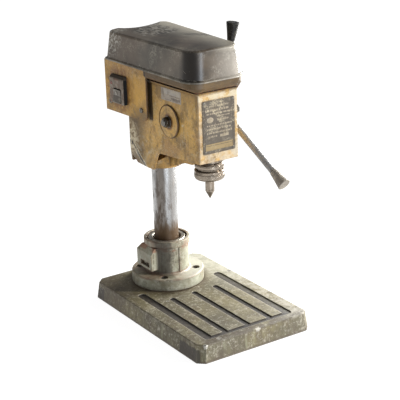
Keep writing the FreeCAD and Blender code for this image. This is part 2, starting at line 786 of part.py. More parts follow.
def pinion_wire():
    """Outline of the pinion's involute teeth. One tooth points along -X."""
    pressure = math.radians(20.0)
    base = pinion_pitch_radius * math.cos(pressure)
    half_pitch = math.pi / (2.0 * pinion_teeth) - tooth_relief / pinion_pitch_radius
    flat_angle = half_pitch + math.tan(pressure) - pressure
    root = pinion_pitch_radius - 1.25 * gear_module
    radii = [base, pinion_pitch_radius, pinion_pitch_radius + gear_module / 2.0,
             pinion_pitch_radius + gear_module * 0.97]
    flank = [(root, flat_angle)]
    for radius in radii:
        roll = math.acos(min(1.0, base / radius))
        flank.append((radius, flat_angle - (math.tan(roll) - roll)))
    tooth = [(r, math.pi - a) for r, a in flank] + [(r, math.pi + a) for r, a in reversed(flank)]
    vertices = []
    for i in range(pinion_teeth):
        turn = 2.0 * math.pi * i / pinion_teeth
        vertices += [Vector(r * math.cos(a + turn), r * math.sin(a + turn), 0) for r, a in tooth]
    return Part.makePolygon(vertices + vertices[:1])


def make_bearing(z):
    """Shielded ball bearing drawn as its rings and shield."""
    inner = spindle_radius + running_fit
    width = bearing_width - 0.5
    outer = bearing_radius
    profile = [(inner, 0), (inner + 3.0, 0), (inner + 3.0, 1.0), (outer - 2.5, 1.0), (outer - 2.5, 0),
               (outer, 0), (outer, width), (outer - 2.5, width), (outer - 2.5, width - 1.0),
               (inner + 3.0, width - 1.0), (inner + 3.0, width), (inner, width)]
    return revolved(profile, 0, spindle_y, z)


def make_spindle():
    nose = chuck_top - taper_length
    quill_top = quill_bottom + quill_length
    profile = [(0, nose), (taper_end, nose), (spindle_radius - 0.3, chuck_top),
               (spindle_radius, chuck_top + 0.5), (spindle_radius, quill_top - 1.0),
               (drive_sleeve_bore, quill_top), (drive_sleeve_bore, spindle_top - 1.0),
               (drive_sleeve_bore - 1.0, spindle_top), (0, spindle_top)]
    return revolved(profile, 0, spindle_y, 0)


# ---------------------------------------------------------------- chuck
def jaw_axis(turn):
    """Axis of one jaw's slanting bore: through the closed jaws' tip, out and up."""
    lean = math.radians(jaw_slope)
    swing = math.radians(turn)
    return Vector(math.sin(lean) * math.cos(swing), math.sin(lean) * math.sin(swing), math.cos(lean))


def jaw_turns():
    return (30.0, 150.0, 270.0)


def jaw_shank(turn, radius, below, above):
    """Slanting cylinder of one jaw, or of its bore in the chuck body."""
    axis = jaw_axis(turn)
    swing = math.radians(turn)
    out = Vector(math.cos(swing), math.sin(swing), 0) * jaw_shank_offset
    start = Vector(0, spindle_y, jaw_nose_top) + out - axis * below
    return Part.makeCylinder(radius, below + jaw_shank_length + above, start, axis)


def make_chuck_body():
    """Keyless chuck's body: wide shoulder, groove, and the core that guides the jaws."""
    core_bottom = sleeve_bottom + 3.0
    profile = [(0, core_bottom), (chuck_core_radius - 4.0, core_bottom),
               (chuck_core_radius, core_bottom + 5.0), (chuck_core_radius, sleeve_top + 0.3),
               (chuck_groove_radius, sleeve_top + 0.3), (chuck_groove_radius, chuck_body_bottom),
               (chuck_radius - 1.0, chuck_body_bottom), (chuck_radius, chuck_body_bottom + 1.0),
               (chuck_radius, chuck_top - 5.0), (chuck_radius - 0.8, chuck_top - 4.6),
               (chuck_radius - 0.8, chuck_top - 3.6), (chuck_radius - 0.2, chuck_top - 3.2),
               (chuck_radius - 2.4, chuck_top), (0, chuck_top)]
    body = revolved(profile, 0, spindle_y, 0)
    nose = chuck_top - taper_length
    body = body.cut(revolved([(0, nose), (taper_end + 0.02, nose),
                              (spindle_radius - 0.28, chuck_top + 0.1), (0, chuck_top + 0.1)],
                             0, spindle_y, 0))
    well_top = jaw_nose_top + jaw_travel + 0.6
    well = cylinder(0, spindle_y, sleeve_bottom, jaw_radius + 4.2, well_top - sleeve_bottom)
    tools = [well]
    for turn in jaw_turns():
        tools.append(jaw_shank(turn, jaw_shank_radius + jaw_fit, 0.0, jaw_travel + 1.0))
    for tool in tools:
        body = body.cut(tool)
    return body


def make_chuck_sleeve():
    """Outer sleeve that closes the jaws, with two narrow grip grooves."""
    inner = chuck_core_radius + 0.08
    lip = jaw_radius + 5.0
    height = sleeve_top - sleeve_bottom
    outer = sleeve_radius
    profile = [(inner, 7.4), (inner, height - 1.0), (inner + 1.0, height), (outer - 1.2, height),
               (outer, height - 1.2), (outer, height - 4.6), (outer - 0.8, height - 5.2),
               (outer - 0.8, height - 6.2), (outer, height - 6.8), (outer, sleeve_corner),
               (outer - sleeve_corner * 0.35, sleeve_corner * 0.35), (outer - sleeve_corner, 0.0),
               (lip, 0.0), (lip, 2.0), (inner - 4.2, 2.4)]
    return revolved(profile, 0, spindle_y, sleeve_bottom)


def make_jaw(turn):
    """A third of the closed jaws' round nose, on its slanting shank."""
    profile = [(0, jaw_tip), (1.2, jaw_tip), (jaw_radius, jaw_end), (jaw_radius, jaw_nose_top),
               (0, jaw_nose_top)]
    nose = revolved(profile, 0, spindle_y, 0)
    swing = math.radians(turn)
    spread = math.radians(60.0)
    origin = Vector(math.cos(swing), math.sin(swing), 0) * jaw_gap + Vector(0, spindle_y, jaw_tip - 1.0)
    reach = 40.0
    left = origin + Vector(math.cos(swing - spread), math.sin(swing - spread), 0) * reach
    right = origin + Vector(math.cos(swing + spread), math.sin(swing + spread), 0) * reach
    wedge = Part.Face(Part.makePolygon([origin, left, right, origin])).extrude(Vector(0, 0, 70.0))
    return nose.fuse(jaw_shank(turn, jaw_shank_radius, 4.0, 0.0)).common(wedge)


# ---------------------------------------------------------------- belt drive
def stepped_pulley(y, radii, bore):
    """Three V-grooved steps from the bottom up, with a short hub on top."""
    profile = [(bore, 0)]
    for i, radius in enumerate(radii):
        z = i * pulley_step
        middle = z + pulley_step / 2.0
        mouth = groove_mouth()
        root = radius - groove_depth_v
        profile += [(radius, z), (radius, middle - mouth), (root, middle - mouth + groove_narrowing),
                    (root, middle + mouth - groove_narrowing), (radius, middle + mouth),
                    (radius, z + pulley_step)]
    top = len(radii) * pulley_step
    profile += [(bore + 4.0, top), (bore + 4.0, top + 4.0), (bore, top + 4.0)]
    return revolved(profile, 0, y, pulley_bottom)


def groove_mouth():
    """Half width of a pulley groove at its rim."""
    return pulley_step / 2.0 - pulley_rim


def make_spindle_pulley():
    """Pulley on its drive sleeve, which runs in the deck bearing."""
    bore = drive_sleeve_bore + running_fit
    body = stepped_pulley(spindle_y, spindle_pulley_radii, bore)
    start = deck_top - deck_bearing_width
    sleeve = ring(0, spindle_y, start, drive_sleeve_radius, bore, pulley_bottom - start + 1.0)
    return body.fuse(sleeve)


def make_pulley_bearing():
    outer = drive_sleeve_radius + 7.0 - 0.02
    inner = drive_sleeve_radius + running_fit
    width = deck_bearing_width
    profile = [(inner, 0), (outer, 0), (outer, width), (outer - 2.5, width),
               (outer - 2.5, width - 1.0), (inner + 2.0, width - 1.0), (inner + 2.0, width), (inner, width)]
    return revolved(profile, 0, spindle_y, deck_top - deck_bearing_width)


def make_motor_pulley():
    return stepped_pulley(motor_y, motor_pulley_radii, motor_shaft_radius + 0.02)


def make_motor_shaft():
    bottom = motor_bottom + 6.0
    top = pulley_bottom + 3.0 * pulley_step + 6.0
    profile = [(0, bottom), (motor_shaft_radius - 1.0, bottom), (motor_shaft_radius, bottom + 1.0),
               (motor_shaft_radius, top - 1.0), (motor_shaft_radius - 1.0, top), (0, top)]
    return revolved(profile, 0, motor_y, 0)


def make_motor():
    """Motor can with a stepped end bell, hung under the deck."""
    height = deck_top - deck_thickness - motor_bottom
    can = revolved([(0, 0), (motor_radius - 8.0, 0), (motor_radius - 2.0, 5.0), (motor_radius - 2.0, 12.0),
                    (motor_radius, 13.0), (motor_radius, height - 8.0), (motor_radius - 2.0, height - 6.0),
                    (motor_radius - 2.0, height), (0, height)], 0, motor_y, motor_bottom)
    return can.cut(cylinder(0, motor_y, motor_bottom + 5.5, motor_shaft_radius + running_fit, 200.0))


def belt_face(centre_y, radius, out):
    """Cross section of the V-belt where it leaves one pulley, square to its run."""
    rise = groove_narrowing / groove_depth_v
    flank_gap = belt_clearance * math.sqrt(1.0 + rise ** 2)
    middle = pulley_bottom + (belt_step + 0.5) * pulley_step
    corners = []
    for radius_here in (radius + belt_proud, radius + belt_proud - belt_thickness):
        half = groove_mouth() - rise * (radius - radius_here) - flank_gap
        point = Vector(0, centre_y, middle) + out * radius_here
        corners.append((point, half))
    (far, far_half), (near, near_half) = corners
    up = Z_AXIS
    return Part.Face(Part.makePolygon([far + up * far_half, far - up * far_half, near - up * near_half,
                                       near + up * near_half, far + up * far_half]))


def make_belt():
    """V-belt round both pulleys: two arcs and the two straight runs between them."""
    large = spindle_pulley_radii[belt_step]
    small = motor_pulley_radii[belt_step]
    centres = motor_y - spindle_y
    lean = math.asin((large - small) / centres)
    run = centres * math.cos(lean)
    pieces = []
    for side in (-1.0, 1.0):
        out = Vector(side * math.cos(lean), math.sin(lean), 0)
        along = Vector(-side * math.sin(lean), math.cos(lean), 0)
        pieces.append(belt_face(spindle_y, large, out).extrude(along * run))
    out = Vector(math.cos(lean), math.sin(lean), 0)
    turn = math.degrees(lean)
    front = belt_face(spindle_y, large, out)
    pieces.append(front.revolve(Vector(0, spindle_y, 0), Z_AXIS, -180.0 - 2.0 * turn))
    back = belt_face(motor_y, small, out)
    pieces.append(back.revolve(Vector(0, motor_y, 0), Z_AXIS, 180.0 - 2.0 * turn))
    return pieces[0].fuse(pieces[1:]).removeSplitter()


# ---------------------------------------------------------------- return spring and levers
def make_spring_cap():
    """Round cover of the return spring, with a pin that holds the spring's outer end."""
    inner = stud_radius + 1.2
    profile = [(inner, 0), (cap_radius - 0.6, 0), (cap_radius, 0.6), (cap_radius, cap_thickness - 0.9),
               (cap_radius - 0.9, cap_thickness), (13.0, cap_thickness), (12.0, cap_thickness - 0.5),
               (inner, cap_thickness - 0.5)]
    cap = revolved(profile, -pad_face - 0.02, pinion_y, pinion_z, -X_AXIS)
    pin = spring_pocket_radius - 3.0
    post = cylinder(-pad_face - 0.1, pinion_y, pinion_z + pin, 1.6, spring_pocket_depth - 3.0, X_AXIS)
    return cap.fuse(post)


def make_return_spring():
    """Flat spiral spring on the feed shaft, inside the pocket behind its cap."""
    width = spring_pocket_depth - 5.0
    start = stud_radius + 0.35
    points = []
    for side in (0.0, spring_strip):
        line = []
        for i in range(spring_turns * 12 + 1):
            angle = math.radians(30.0 * i)
            radius = start + side + spring_pitch * i / 12.0
            line.append(Vector(0, radius * math.cos(angle), radius * math.sin(angle)))
        points.append(line)
    inner = Part.BSplineCurve()
    inner.interpolate(points[0])
    outer = Part.BSplineCurve()
    outer.interpolate(points[1])
    edges = [inner.toShape(), Part.LineSegment(points[0][-1], points[1][-1]).toShape(),
             outer.toShape(), Part.LineSegment(points[1][0], points[0][0]).toShape()]
    strip = Part.Face(Part.Wire(Part.__sortEdges__(edges))).extrude(Vector(width, 0, 0))
    strip.translate(Vector(-pad_face + 2.5, pinion_y, pinion_z))
    return strip


def make_spring_nut():
    """Hexagon nut with a washer face that holds the cap."""
    start = -pad_face - cap_thickness - 0.3
    nut = hexagon(start - 1.2, pinion_y, pinion_z, nut_across, nut_height - 1.2, -X_AXIS)
    crown = revolved([(0, 0), (9.6, 0), (9.6, nut_height - 2.6), (7.6, nut_height), (0, nut_height)],
                     start, pinion_y, pinion_z, -X_AXIS)
    washer = cylinder(start, pinion_y, pinion_z, 10.5, 1.2, -X_AXIS)
    return nut.common(crown).fuse(washer).cut(
        cylinder(start + 1.0, pinion_y, pinion_z, stud_radius + 0.02, nut_height + 4.0, -X_AXIS))


def lever_direction(number):
    """Unit vector out along one lever, leaning a little away from the head."""
    turn = math.radians(lever_phase + 120.0 * number)
    lean = math.radians(lever_tilt)
    return Vector(math.sin(lean), math.cos(turn) * math.cos(lean), math.sin(turn) * math.cos(lean))


def lever_start():
    return Vector(lever_plane, pinion_y, pinion_z)


def make_feed_hub():
    """Hub on the feed shaft, with three screwed sockets for the levers."""
    profile = [(shaft_radius - 1.0 + 0.02, 0), (hub_radius - 1.5, 0), (hub_radius, 1.5),
               (hub_radius, hub_length - 9.0), (hub_radius - 3.0, hub_length - 3.0),
               (hub_radius - 6.0, hub_length), (0, hub_length), (0, hub_length - 4.0),
               (shaft_radius - 1.0 + 0.02, hub_length - 4.0)]
    body = revolved(profile, hub_start, pinion_y, pinion_z, X_AXIS)
    for number in range(3):
        out = lever_direction(number)
        body = body.fuse(Part.makeCylinder(rod_radius + 3.0, hub_radius + 3.0, lever_start(), out))
    core = cylinder(hub_start - 1.0, pinion_y, pinion_z, shaft_radius - 1.0 + 0.02, hub_length - 3.0, X_AXIS)
    body = body.cut(core)
    for number in range(3):
        out = lever_direction(number)
        start = lever_start() + out * (hub_radius - 5.5)
        body = body.cut(Part.makeCylinder(rod_radius + 0.02, 20.0, start, out))
    return body


def make_lever(number):
    out = lever_direction(number)
    start = hub_radius - 5.0
    length = lever_reach[number] - start - 4.0
    neck = length - grip_length + 3.0
    foot = lever_point(number, start)
    return revolved([(0, 0), (rod_radius - 0.8, 0), (rod_radius, 0.8), (rod_radius, neck),
                     (rod_radius - 1.3, neck + 0.5), (rod_radius - 1.3, length - 1.0),
                     (rod_radius - 2.3, length), (0, length)], foot.x, foot.y, foot.z, out)


def lever_point(number, distance):
    return lever_start() + lever_direction(number) * distance


def make_grip(number):
    """Flared moulded grip, blind at its outer end."""
    root = lever_point(number, lever_reach[number] - grip_length)
    bore = rod_radius - 1.3 + 0.02
    depth = grip_length - 3.8
    flare = grip_end_radius - grip_root_radius
    profile = [(bore, 0), (grip_root_radius - 0.8, 0), (grip_root_radius, 0.8)]
    for i in range(1, 6):
        t = i / 5.0
        profile.append((grip_root_radius + flare * t ** 1.2, 0.8 + t * (grip_length - grip_edge - 0.8)))
    profile += [(grip_end_radius - 0.3 * grip_edge, grip_length - 0.3 * grip_edge),
                (grip_end_radius - grip_edge, grip_length), (0, grip_length), (0, depth), (bore, depth)]
    return revolved(profile, root.x, root.y, root.z, lever_direction(number))


# ---------------------------------------------------------------- switch side
def make_switch_plate():
    """Pressed plate beside the motor bay, with an opening for the switch."""
    outer = wall_at(plate_front, plate_gap)
    back = wall_at(plate_back, plate_gap)
    plate = side_slab(plate_front, plate_back, plate_bottom, tray_top, plate_gap, plate_thickness)
    corner = box(-back - 20.0, plate_front - 1.0, plate_bottom - 1.0,
                 -outer + 20.0, plate_front + plate_corner, plate_bottom + plate_corner)
    corner = corner.cut(cylinder(-back - 30.0, plate_front + plate_corner, plate_bottom + plate_corner,
                                 plate_corner, 60.0, X_AXIS))
    plate = plate.cut(corner)
    plate = plate.cut(side_block(switch_centre_y, switch_centre_z, switch_width - 9.4,
                                 switch_height - 9.4, plate_gap - 5.0, plate_gap + 10.0))
    for y in plate_screw_places():
        plate = plate.cut(side_tool(y, plate_screw_z, 2.6, plate_gap - 1.0, plate_gap + plate_thickness + 2.0))
    return plate


def make_plate_screws():
    screws = []
    seat = plate_gap + plate_thickness
    for y in plate_screw_places():
        head = side_tool(y, plate_screw_z, 4.4, seat + 0.02, seat + 2.2)
        dome = side_tool(y, plate_screw_z, 3.4, seat + 2.2, seat + 2.9)
        slot = side_block(y, plate_screw_z, 1.2, 12.0, seat + 1.7, seat + 6.0)
        shank = side_tool(y, plate_screw_z, 2.05, -5.0, seat + 0.1)
        screws.append(head.fuse([dome, shank]).cut(slot))
    return Part.makeCompound(screws)


def make_switch_body():
    """Switch box: flanged face on the plate, body through its window."""
    seat = plate_gap + plate_thickness + 0.02
    face = side_block(switch_centre_y, switch_centre_z, switch_width, switch_height,
                      seat, seat + switch_depth)
    outer_face = min(face.Faces, key=lambda f: f.CenterOfMass.x)
    top_edge = max(outer_face.Edges, key=lambda e: e.CenterOfMass.z)
    face = face.makeChamfer(switch_slope, [top_edge])
    outer_face = min(face.Faces, key=lambda f: f.CenterOfMass.x)
    face = face.makeChamfer(1.4, outer_face.Edges)
    inner = side_block(switch_centre_y, switch_centre_z, switch_width - 10.0, switch_height - 10.0,
                       1.0, seat + 1.0)
    body = face.fuse(inner)
    top = seat + switch_depth
    well = side_block(rocker_y, rocker_z, rocker_width, rocker_height, top - 9.5, top + 10.0)
    lamp = side_tool(lamp_y, lamp_z, lamp_radius + 0.02, top - 4.0, top + 2.0)
    return body.cut(well).cut(lamp).cut(rocker_pin(rocker_pin_radius + running_fit, 0.3))


def rocker_pivot():
    """Point on the rocker's pivot, in the middle of the switch."""
    normal = Vector(-1.0, -head_splay, 0).normalize()
    depth = plate_gap + plate_thickness + switch_depth - 2.0
    return Vector(-wall_at(rocker_y), rocker_y, rocker_z) + normal * depth


def rocker_pin(radius, extra):
    """Pin on the rocker's axis, longer than the rocker is wide."""
    along = Vector(-head_splay, 1.0, 0).normalize()
    half = rocker_width / 2.0 - rocker_side_gap + rocker_pin_length + extra
    return Part.makeCylinder(radius, 2.0 * half, rocker_pivot() - along * half, along)


def make_rocker():
    """Rocker of the switch: two faces meeting in a shallow V, on a pivot across it."""
    half_y, half_z = rocker_width / 2.0 - rocker_side_gap, rocker_height / 2.0 - 1.8
    points = [(2.5, -half_z), (rocker_stand + 2.0, -half_z), (2.6, 0.0), (4.2, half_z), (-0.5, half_z - 0.4),
              (-5.5, 3.0), (-5.5, -3.0), (-1.0, -half_z + 0.6)]
    vertices = [Vector(-half_y, -depth, z) for depth, z in points]
    face = Part.Face(Part.makePolygon(vertices + vertices[:1]))
    rocker = face.extrude(Vector(2.0 * half_y, 0, 0))
    turn = -90.0 + math.degrees(math.atan(head_splay))
    rocker.rotate(Vector(0, 0, 0), Z_AXIS, turn)
    rocker.translate(rocker_pivot())
    return rocker.fuse(rocker_pin(rocker_pin_radius, 0.0))


def make_lamp():
    top = plate_gap + plate_thickness + 0.02 + switch_depth
    return side_tool(lamp_y, lamp_z, lamp_radius, top - 3.8, top + 0.8)


# ---------------------------------------------------------------- plates and hinge
def make_data_plate():
    half = data_plate_width / 2.0
    left, right = data_plate_x - half, data_plate_x + half
    wire = rounded_wire([(left, data_plate_bottom), (right, data_plate_bottom),
                         (right, data_plate_top), (left, data_plate_top)], [3.0] * 4, 0.0)
    plate = raised(wire, data_plate_thickness)
    plate.rotate(Vector(0, 0, 0), X_AXIS, 90)
    plate.translate(Vector(0, head_front - 0.02, 0))
    for x, z in rivet_places():
        plate = plate.cut(cylinder(x, head_front + 1.0, z, rivet_radius + 0.3, 4.0, -Y_AXIS))
    return plate


def rivet_places():
    half = data_plate_width / 2.0 - 4.0
    middle = (data_plate_bottom + data_plate_top) / 2.0
    rise = (data_plate_top - data_plate_bottom) / 2.0 - 4.0
    return [(data_plate_x + side * half, middle + up * rise) for side in (-1, 1) for up in (-1, 1)]


def make_rivets():
    rivets = []
    face = head_front - 0.02 - data_plate_thickness
    for x, z in rivet_places():
        dome = revolved([(0, 0), (2.6, 0), (2.4, 0.7), (1.5, 1.2), (0, 1.4)], x, face - 0.02, z, -Y_AXIS)
        rivets.append(dome.fuse(cylinder(x, head_front - 0.05, z, rivet_radius, 1.0, -Y_AXIS)))
    return Part.makeCompound(rivets)


def make_side_label():
    return side_slab(label_front, label_back, label_bottom, label_top, 0.02, label_thickness)


def hinge_line():
    """Y and Z of the cover's hinge pin."""
    return tray_back + cover_lip + hinge_knuckle_radius + 1.0, tray_top + 0.5


def hinge_knuckle_bar(indices, arm):
    """The knuckles named by indices, each with its arm, and the room for the others."""
    y, z = hinge_line()
    width = hinge_length / hinge_knuckles
    pieces = []
    clear = []
    for i in range(hinge_knuckles):
        start = -hinge_length / 2.0 + i * width
        if i in indices:
            barrel = cylinder(start + 0.2, y, z, hinge_knuckle_radius, width - 0.4, X_AXIS)
            slab = side_profile(arm, width / 2.0 - 0.2)
            slab.translate(Vector(start + width / 2.0, 0, 0))
            pieces.append(barrel.fuse(slab))
        else:
            clear.append(cylinder(start - 0.3, y, z, hinge_knuckle_radius + 0.4, width + 0.6, X_AXIS))
    return pieces, clear


def finish_hinge(leaf, indices, arm):
    y, z = hinge_line()
    pieces, clear = hinge_knuckle_bar(indices, arm)
    body = leaf.fuse(pieces)
    for tool in clear:
        body = body.cut(tool)
    return body.cut(cylinder(-80.0, y, z, hinge_radius + running_fit, 160.0, X_AXIS))


def make_hinge_lower():
    """Leaf on the back of the tray, with the outer and middle knuckles."""
    y, z = hinge_line()
    face = tray_back + 0.02
    half = hinge_length / 2.0 - 0.2
    leaf = box(-half, face, tray_band + 0.5, half, face + hinge_leaf, tray_top - 0.7)
    arm = [(face + 1.0, tray_band + 0.5), (face + 1.0, tray_band + 5.0), (y - 3.5, z - 2.5),
           (y, z - hinge_knuckle_radius + 1.0), (y - 1.0, z - hinge_knuckle_radius + 0.2)]
    return finish_hinge(leaf, (0, 2, 4), arm)


def make_hinge_upper():
    """Leaf that follows the back of the cover, with the two knuckles between."""
    y, z = hinge_line()
    half = hinge_length / 2.0 - 0.2
    bottom = tray_top + cover_lip_height + 0.3
    leaf = cover_taper_form(-hinge_leaf).cut(cover_taper_form(-0.05))
    leaf = leaf.common(box(-half, tray_back - 15.0, bottom, half, tray_back + 10.0, bottom + hinge_leaf_height))
    arm = [(tray_back + 0.6, bottom + 0.1), (tray_back + 0.6, bottom + 4.0),
           (y + 2.5, z + hinge_knuckle_radius - 0.8), (y - 2.5, z + hinge_knuckle_radius - 1.6)]
    return finish_hinge(leaf, (1, 3), arm)


def make_hinge_pin():
    y, z = hinge_line()
    half = hinge_length / 2.0
    pin = cylinder(-half - 0.5, y, z, hinge_radius, 2.0 * half + 1.0, X_AXIS)
    return pin.fuse(cylinder(-half - 2.5, y, z, hinge_radius + 1.6, 2.0, X_AXIS))


# ---------------------------------------------------------------- belt cover
def cover_wire(grow, z):
    """Outline of the cover, grown from the tray's outline."""
    return plan_wire(tray_front - grow, tray_back + grow, tray_front_half + grow,
                     tray_back_half + grow, cover_front_radius, cover_back_radius, z)


def cover_taper_form(inset):
    """Tapered sides of the cover, up to its flat top; inset moves the walls inwards."""
    low = cover_wire(-inset, tray_top - 1.0)
    high = cover_wire(-cover_taper - inset, cover_top)
    return loft(low, high)


def cover_form(inset):
    """Tapered, crowned form of the cover; inset gives the inside of the shell."""
    crown = cylinder(0, tray_front - 50.0, cover_top - inset - cover_crown_radius,
                     cover_crown_radius, 400.0, Y_AXIS)
    form = cover_taper_form(inset).common(crown)
    reach = tray_back - cover_taper + 4.0 - scoop_reach
    circle = (scoop_half_chord ** 2 + scoop_reach ** 2) / (2.0 * scoop_reach)
    rise = math.sqrt(scoop_radius ** 2 - circle ** 2)
    scoop = Part.makeSphere(scoop_radius + inset, Vector(4.0, reach + circle, cover_top - 0.6 + rise))
    return form.cut(scoop)


def make_cover():
    """Deep-drawn cover: one shell with a dished corner at the back and a rolled lip."""
    outer = cover_form(0.0)
    top_edges = [e for e in outer.Edges if e.BoundBox.ZMin > cover_top - 12.0]
    outer = outer.makeFillet(cover_edge, top_edges)
    lip_bottom = tray_top + 0.3
    lip = loft(cover_wire(cover_lip, lip_bottom), cover_wire(cover_lip - 0.6, lip_bottom + 2.3))
    bead = loft(cover_wire(cover_lip - 1.4, lip_bottom + 2.3), cover_wire(0.0, lip_bottom + cover_lip_height))
    body = outer.fuse([lip, bead]).cut(cover_form(cover_wall))
    below = box(-200, tray_front - 50.0, tray_top - 5.0, 200, tray_back + 50.0, lip_bottom)
    return body.cut(below)


BUILDERS = [
    ("base_plate", make_base),
    ("column_flange", make_flange),
    ("flange_screws", make_flange_screws),
    ("socket_collar", make_collar),
    ("wiper_ring", make_insert),
    ("socket_clamp_screw", make_lug_screw),
    ("column", make_column),
    ("head_casting", make_head_casting),
    ("head_tray", make_head_tray),
    ("head_core", make_head_core),
    ("head_lock_bolts", make_lock_bolts),
    ("oil_plug", make_oil_plug),
    ("cable_gland", make_gland),
    ("quill", make_quill),
    ("quill_collar", make_quill_collar),
    ("quill_bearing_lower", lambda: make_bearing(quill_bottom + 0.3)),
    ("quill_bearing_upper", lambda: make_bearing(quill_bottom + quill_length - bearing_width + 0.2)),
    ("spindle", make_spindle),
    ("pinion_shaft", make_pinion_shaft),
    ("chuck_body", make_chuck_body),
    ("chuck_sleeve", make_chuck_sleeve),
    ("spindle_pulley", make_spindle_pulley),
    ("pulley_bearing", make_pulley_bearing),
    ("motor_pulley", make_motor_pulley),
    ("motor_shaft", make_motor_shaft),
    ("motor_body", make_motor),
    ("drive_belt", make_belt),
    ("belt_cover", make_cover),
    ("cover_hinge_lower", make_hinge_lower),
    ("cover_hinge_upper", make_hinge_upper),
    ("cover_hinge_pin", make_hinge_pin),
    ("spring_cap", make_spring_cap),
    ("return_spring", make_return_spring),
    ("spring_nut", make_spring_nut),
    ("feed_hub", make_feed_hub),
    ("switch_plate", make_switch_plate),
    ("plate_screws", make_plate_screws),
    ("switch_body", make_switch_body),
    ("switch_rocker", make_rocker),
    ("switch_lamp", make_lamp),
    ("data_plate", make_data_plate),
    ("plate_rivets", make_rivets),
    ("side_label", make_side_label),
]


def main():
    os.makedirs("parts", exist_ok=True)
    for name, builder in BUILDERS:
        builder().exportStep(os.path.join("parts", name + ".step"))
    for number, turn in enumerate(jaw_turns()):
        make_jaw(turn).exportStep(os.path.join("parts", "chuck_jaw_%d.step" % (number + 1)))
        make_lever(number).exportStep(os.path.join("parts", "feed_lever_%d.step" % (number + 1)))
        make_grip(number).exportStep(os.path.join("parts", "lever_grip_%d.step" % (number + 1)))


main()
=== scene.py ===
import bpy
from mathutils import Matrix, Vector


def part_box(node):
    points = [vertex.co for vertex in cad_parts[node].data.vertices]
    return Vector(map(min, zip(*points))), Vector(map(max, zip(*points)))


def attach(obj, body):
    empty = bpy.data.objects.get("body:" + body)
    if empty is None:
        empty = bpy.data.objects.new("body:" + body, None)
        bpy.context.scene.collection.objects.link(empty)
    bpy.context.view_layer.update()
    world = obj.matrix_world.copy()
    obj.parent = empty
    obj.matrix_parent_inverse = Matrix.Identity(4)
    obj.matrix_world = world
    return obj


bl_info = {
    "name": "Bench Drill Finish",
    "version": (1, 0, 0),
    "blender": (4, 5, 0),
    "location": "3D View > Sidebar > Bench Drill",
    "description": "Worn finishes, small fittings and a studio for a bench drilling machine",
    "category": "Object",
}

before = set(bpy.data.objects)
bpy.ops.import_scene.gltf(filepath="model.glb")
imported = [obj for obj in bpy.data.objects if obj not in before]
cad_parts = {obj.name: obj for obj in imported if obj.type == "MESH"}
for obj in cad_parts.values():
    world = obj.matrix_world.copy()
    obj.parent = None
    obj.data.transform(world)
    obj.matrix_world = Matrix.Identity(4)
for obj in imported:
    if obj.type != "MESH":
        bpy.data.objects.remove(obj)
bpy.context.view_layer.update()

import math
import random
from functools import reduce

import bmesh
import bpy
from bpy.props import FloatProperty, FloatVectorProperty, IntProperty, PointerProperty
from mathutils import Matrix, Vector

X_AXIS = Vector((1, 0, 0))
Z_AXIS = Vector((0, 0, 1))
MM = 0.001

# Places on the machine that the wear and the painted light and shade follow, from the frame itself.
BASE_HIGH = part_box("base_plate")[1]
FLANGE_THICKNESS = 0.023
FLANGE_TOP = BASE_HIGH.z + FLANGE_THICKNESS
COLLAR_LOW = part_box("socket_collar")[0]
COVER_LOW, COVER_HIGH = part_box("belt_cover")
PLATE_LOW, PLATE_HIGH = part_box("data_plate")
LABEL_LOW, LABEL_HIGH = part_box("side_label")
CAP_LOW, CAP_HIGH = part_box("spring_cap")
SWITCH_LOW, SWITCH_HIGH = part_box("switch_body")
COLUMN_LOW, COLUMN_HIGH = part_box("column")
SWITCH_PLATE_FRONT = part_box("switch_plate")[0].y
SLEEVE_LOW, SLEEVE_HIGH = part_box("chuck_sleeve")

# The head's left wall: half its width at the front, where the front is, and metres out per metre back.
WALL_HALF_WIDTH = 0.04
WALL_FRONT = -0.08
WALL_SPLAY = 0.078

# The cover's back wall at the hinge: a point on it, and metres forward per metre up.
COVER_BACK_Y = 0.1866
COVER_BACK_Z = 0.4605
COVER_BACK_SLOPE = 0.108


def paint_tone(red, green, blue):
    """Linear colour from the 0 to 255 values of a paint card."""
    out = []
    for value in (red, green, blue):
        value /= 255
        out.append(value / 12.92 if value <= 0.04045 else ((value + 0.055) / 1.055) ** 2.4)
    return tuple(out) + (1,)


def colour(name, description, *tone):
    return FloatVectorProperty(name=name, description=description, subtype="COLOR", size=4, min=0, max=1,
                               default=paint_tone(*tone))


def number(name, description, default, **limits):
    return FloatProperty(name=name, description=description, default=default, **limits)


def palette(kind):
    """One of the scene's groups of settings."""
    return getattr(bpy.context.scene, "bench_drill_" + kind)


# ---- settings
class BenchDrillPaint(bpy.types.PropertyGroup):
    head_ochre: colour("Head ochre", "Enamel of the head casting", 206, 164, 88)
    head_shade: colour("Head shade", "Aged, darker head enamel", 172, 134, 80)
    plate_ochre: colour("Plate ochre", "Enamel of the switch plate", 184, 142, 66)
    cover_brown: colour("Cover brown", "Satin enamel of the belt cover", 98, 86, 73)
    cover_dark: colour("Cover dark", "Oily parts of the belt cover", 56, 49, 40)
    base_olive: colour("Base olive", "Enamel of the base casting", 120, 111, 78)
    base_moss: colour("Base moss", "Darker enamel low on the base", 92, 86, 64)
    socket_grey: colour("Socket grey", "Grey-green enamel of the socket", 166, 167, 148)
    cream: colour("Worn cream", "Enamel rubbed thin and chalky", 206, 192, 160)
    primer: colour("Primer", "Red-brown primer under the enamel", 134, 84, 56)
    # Oil film also serves as painted shade: in hollows, on shaded edges and on the base's shaded rear.
    oil_film: colour("Oil film", "Old oil and dirt", 74, 60, 42)
    rust: colour("Rust", "Rust stains", 112, 68, 36)
    dust: colour("Dust", "Pale settled dust", 190, 184, 168)


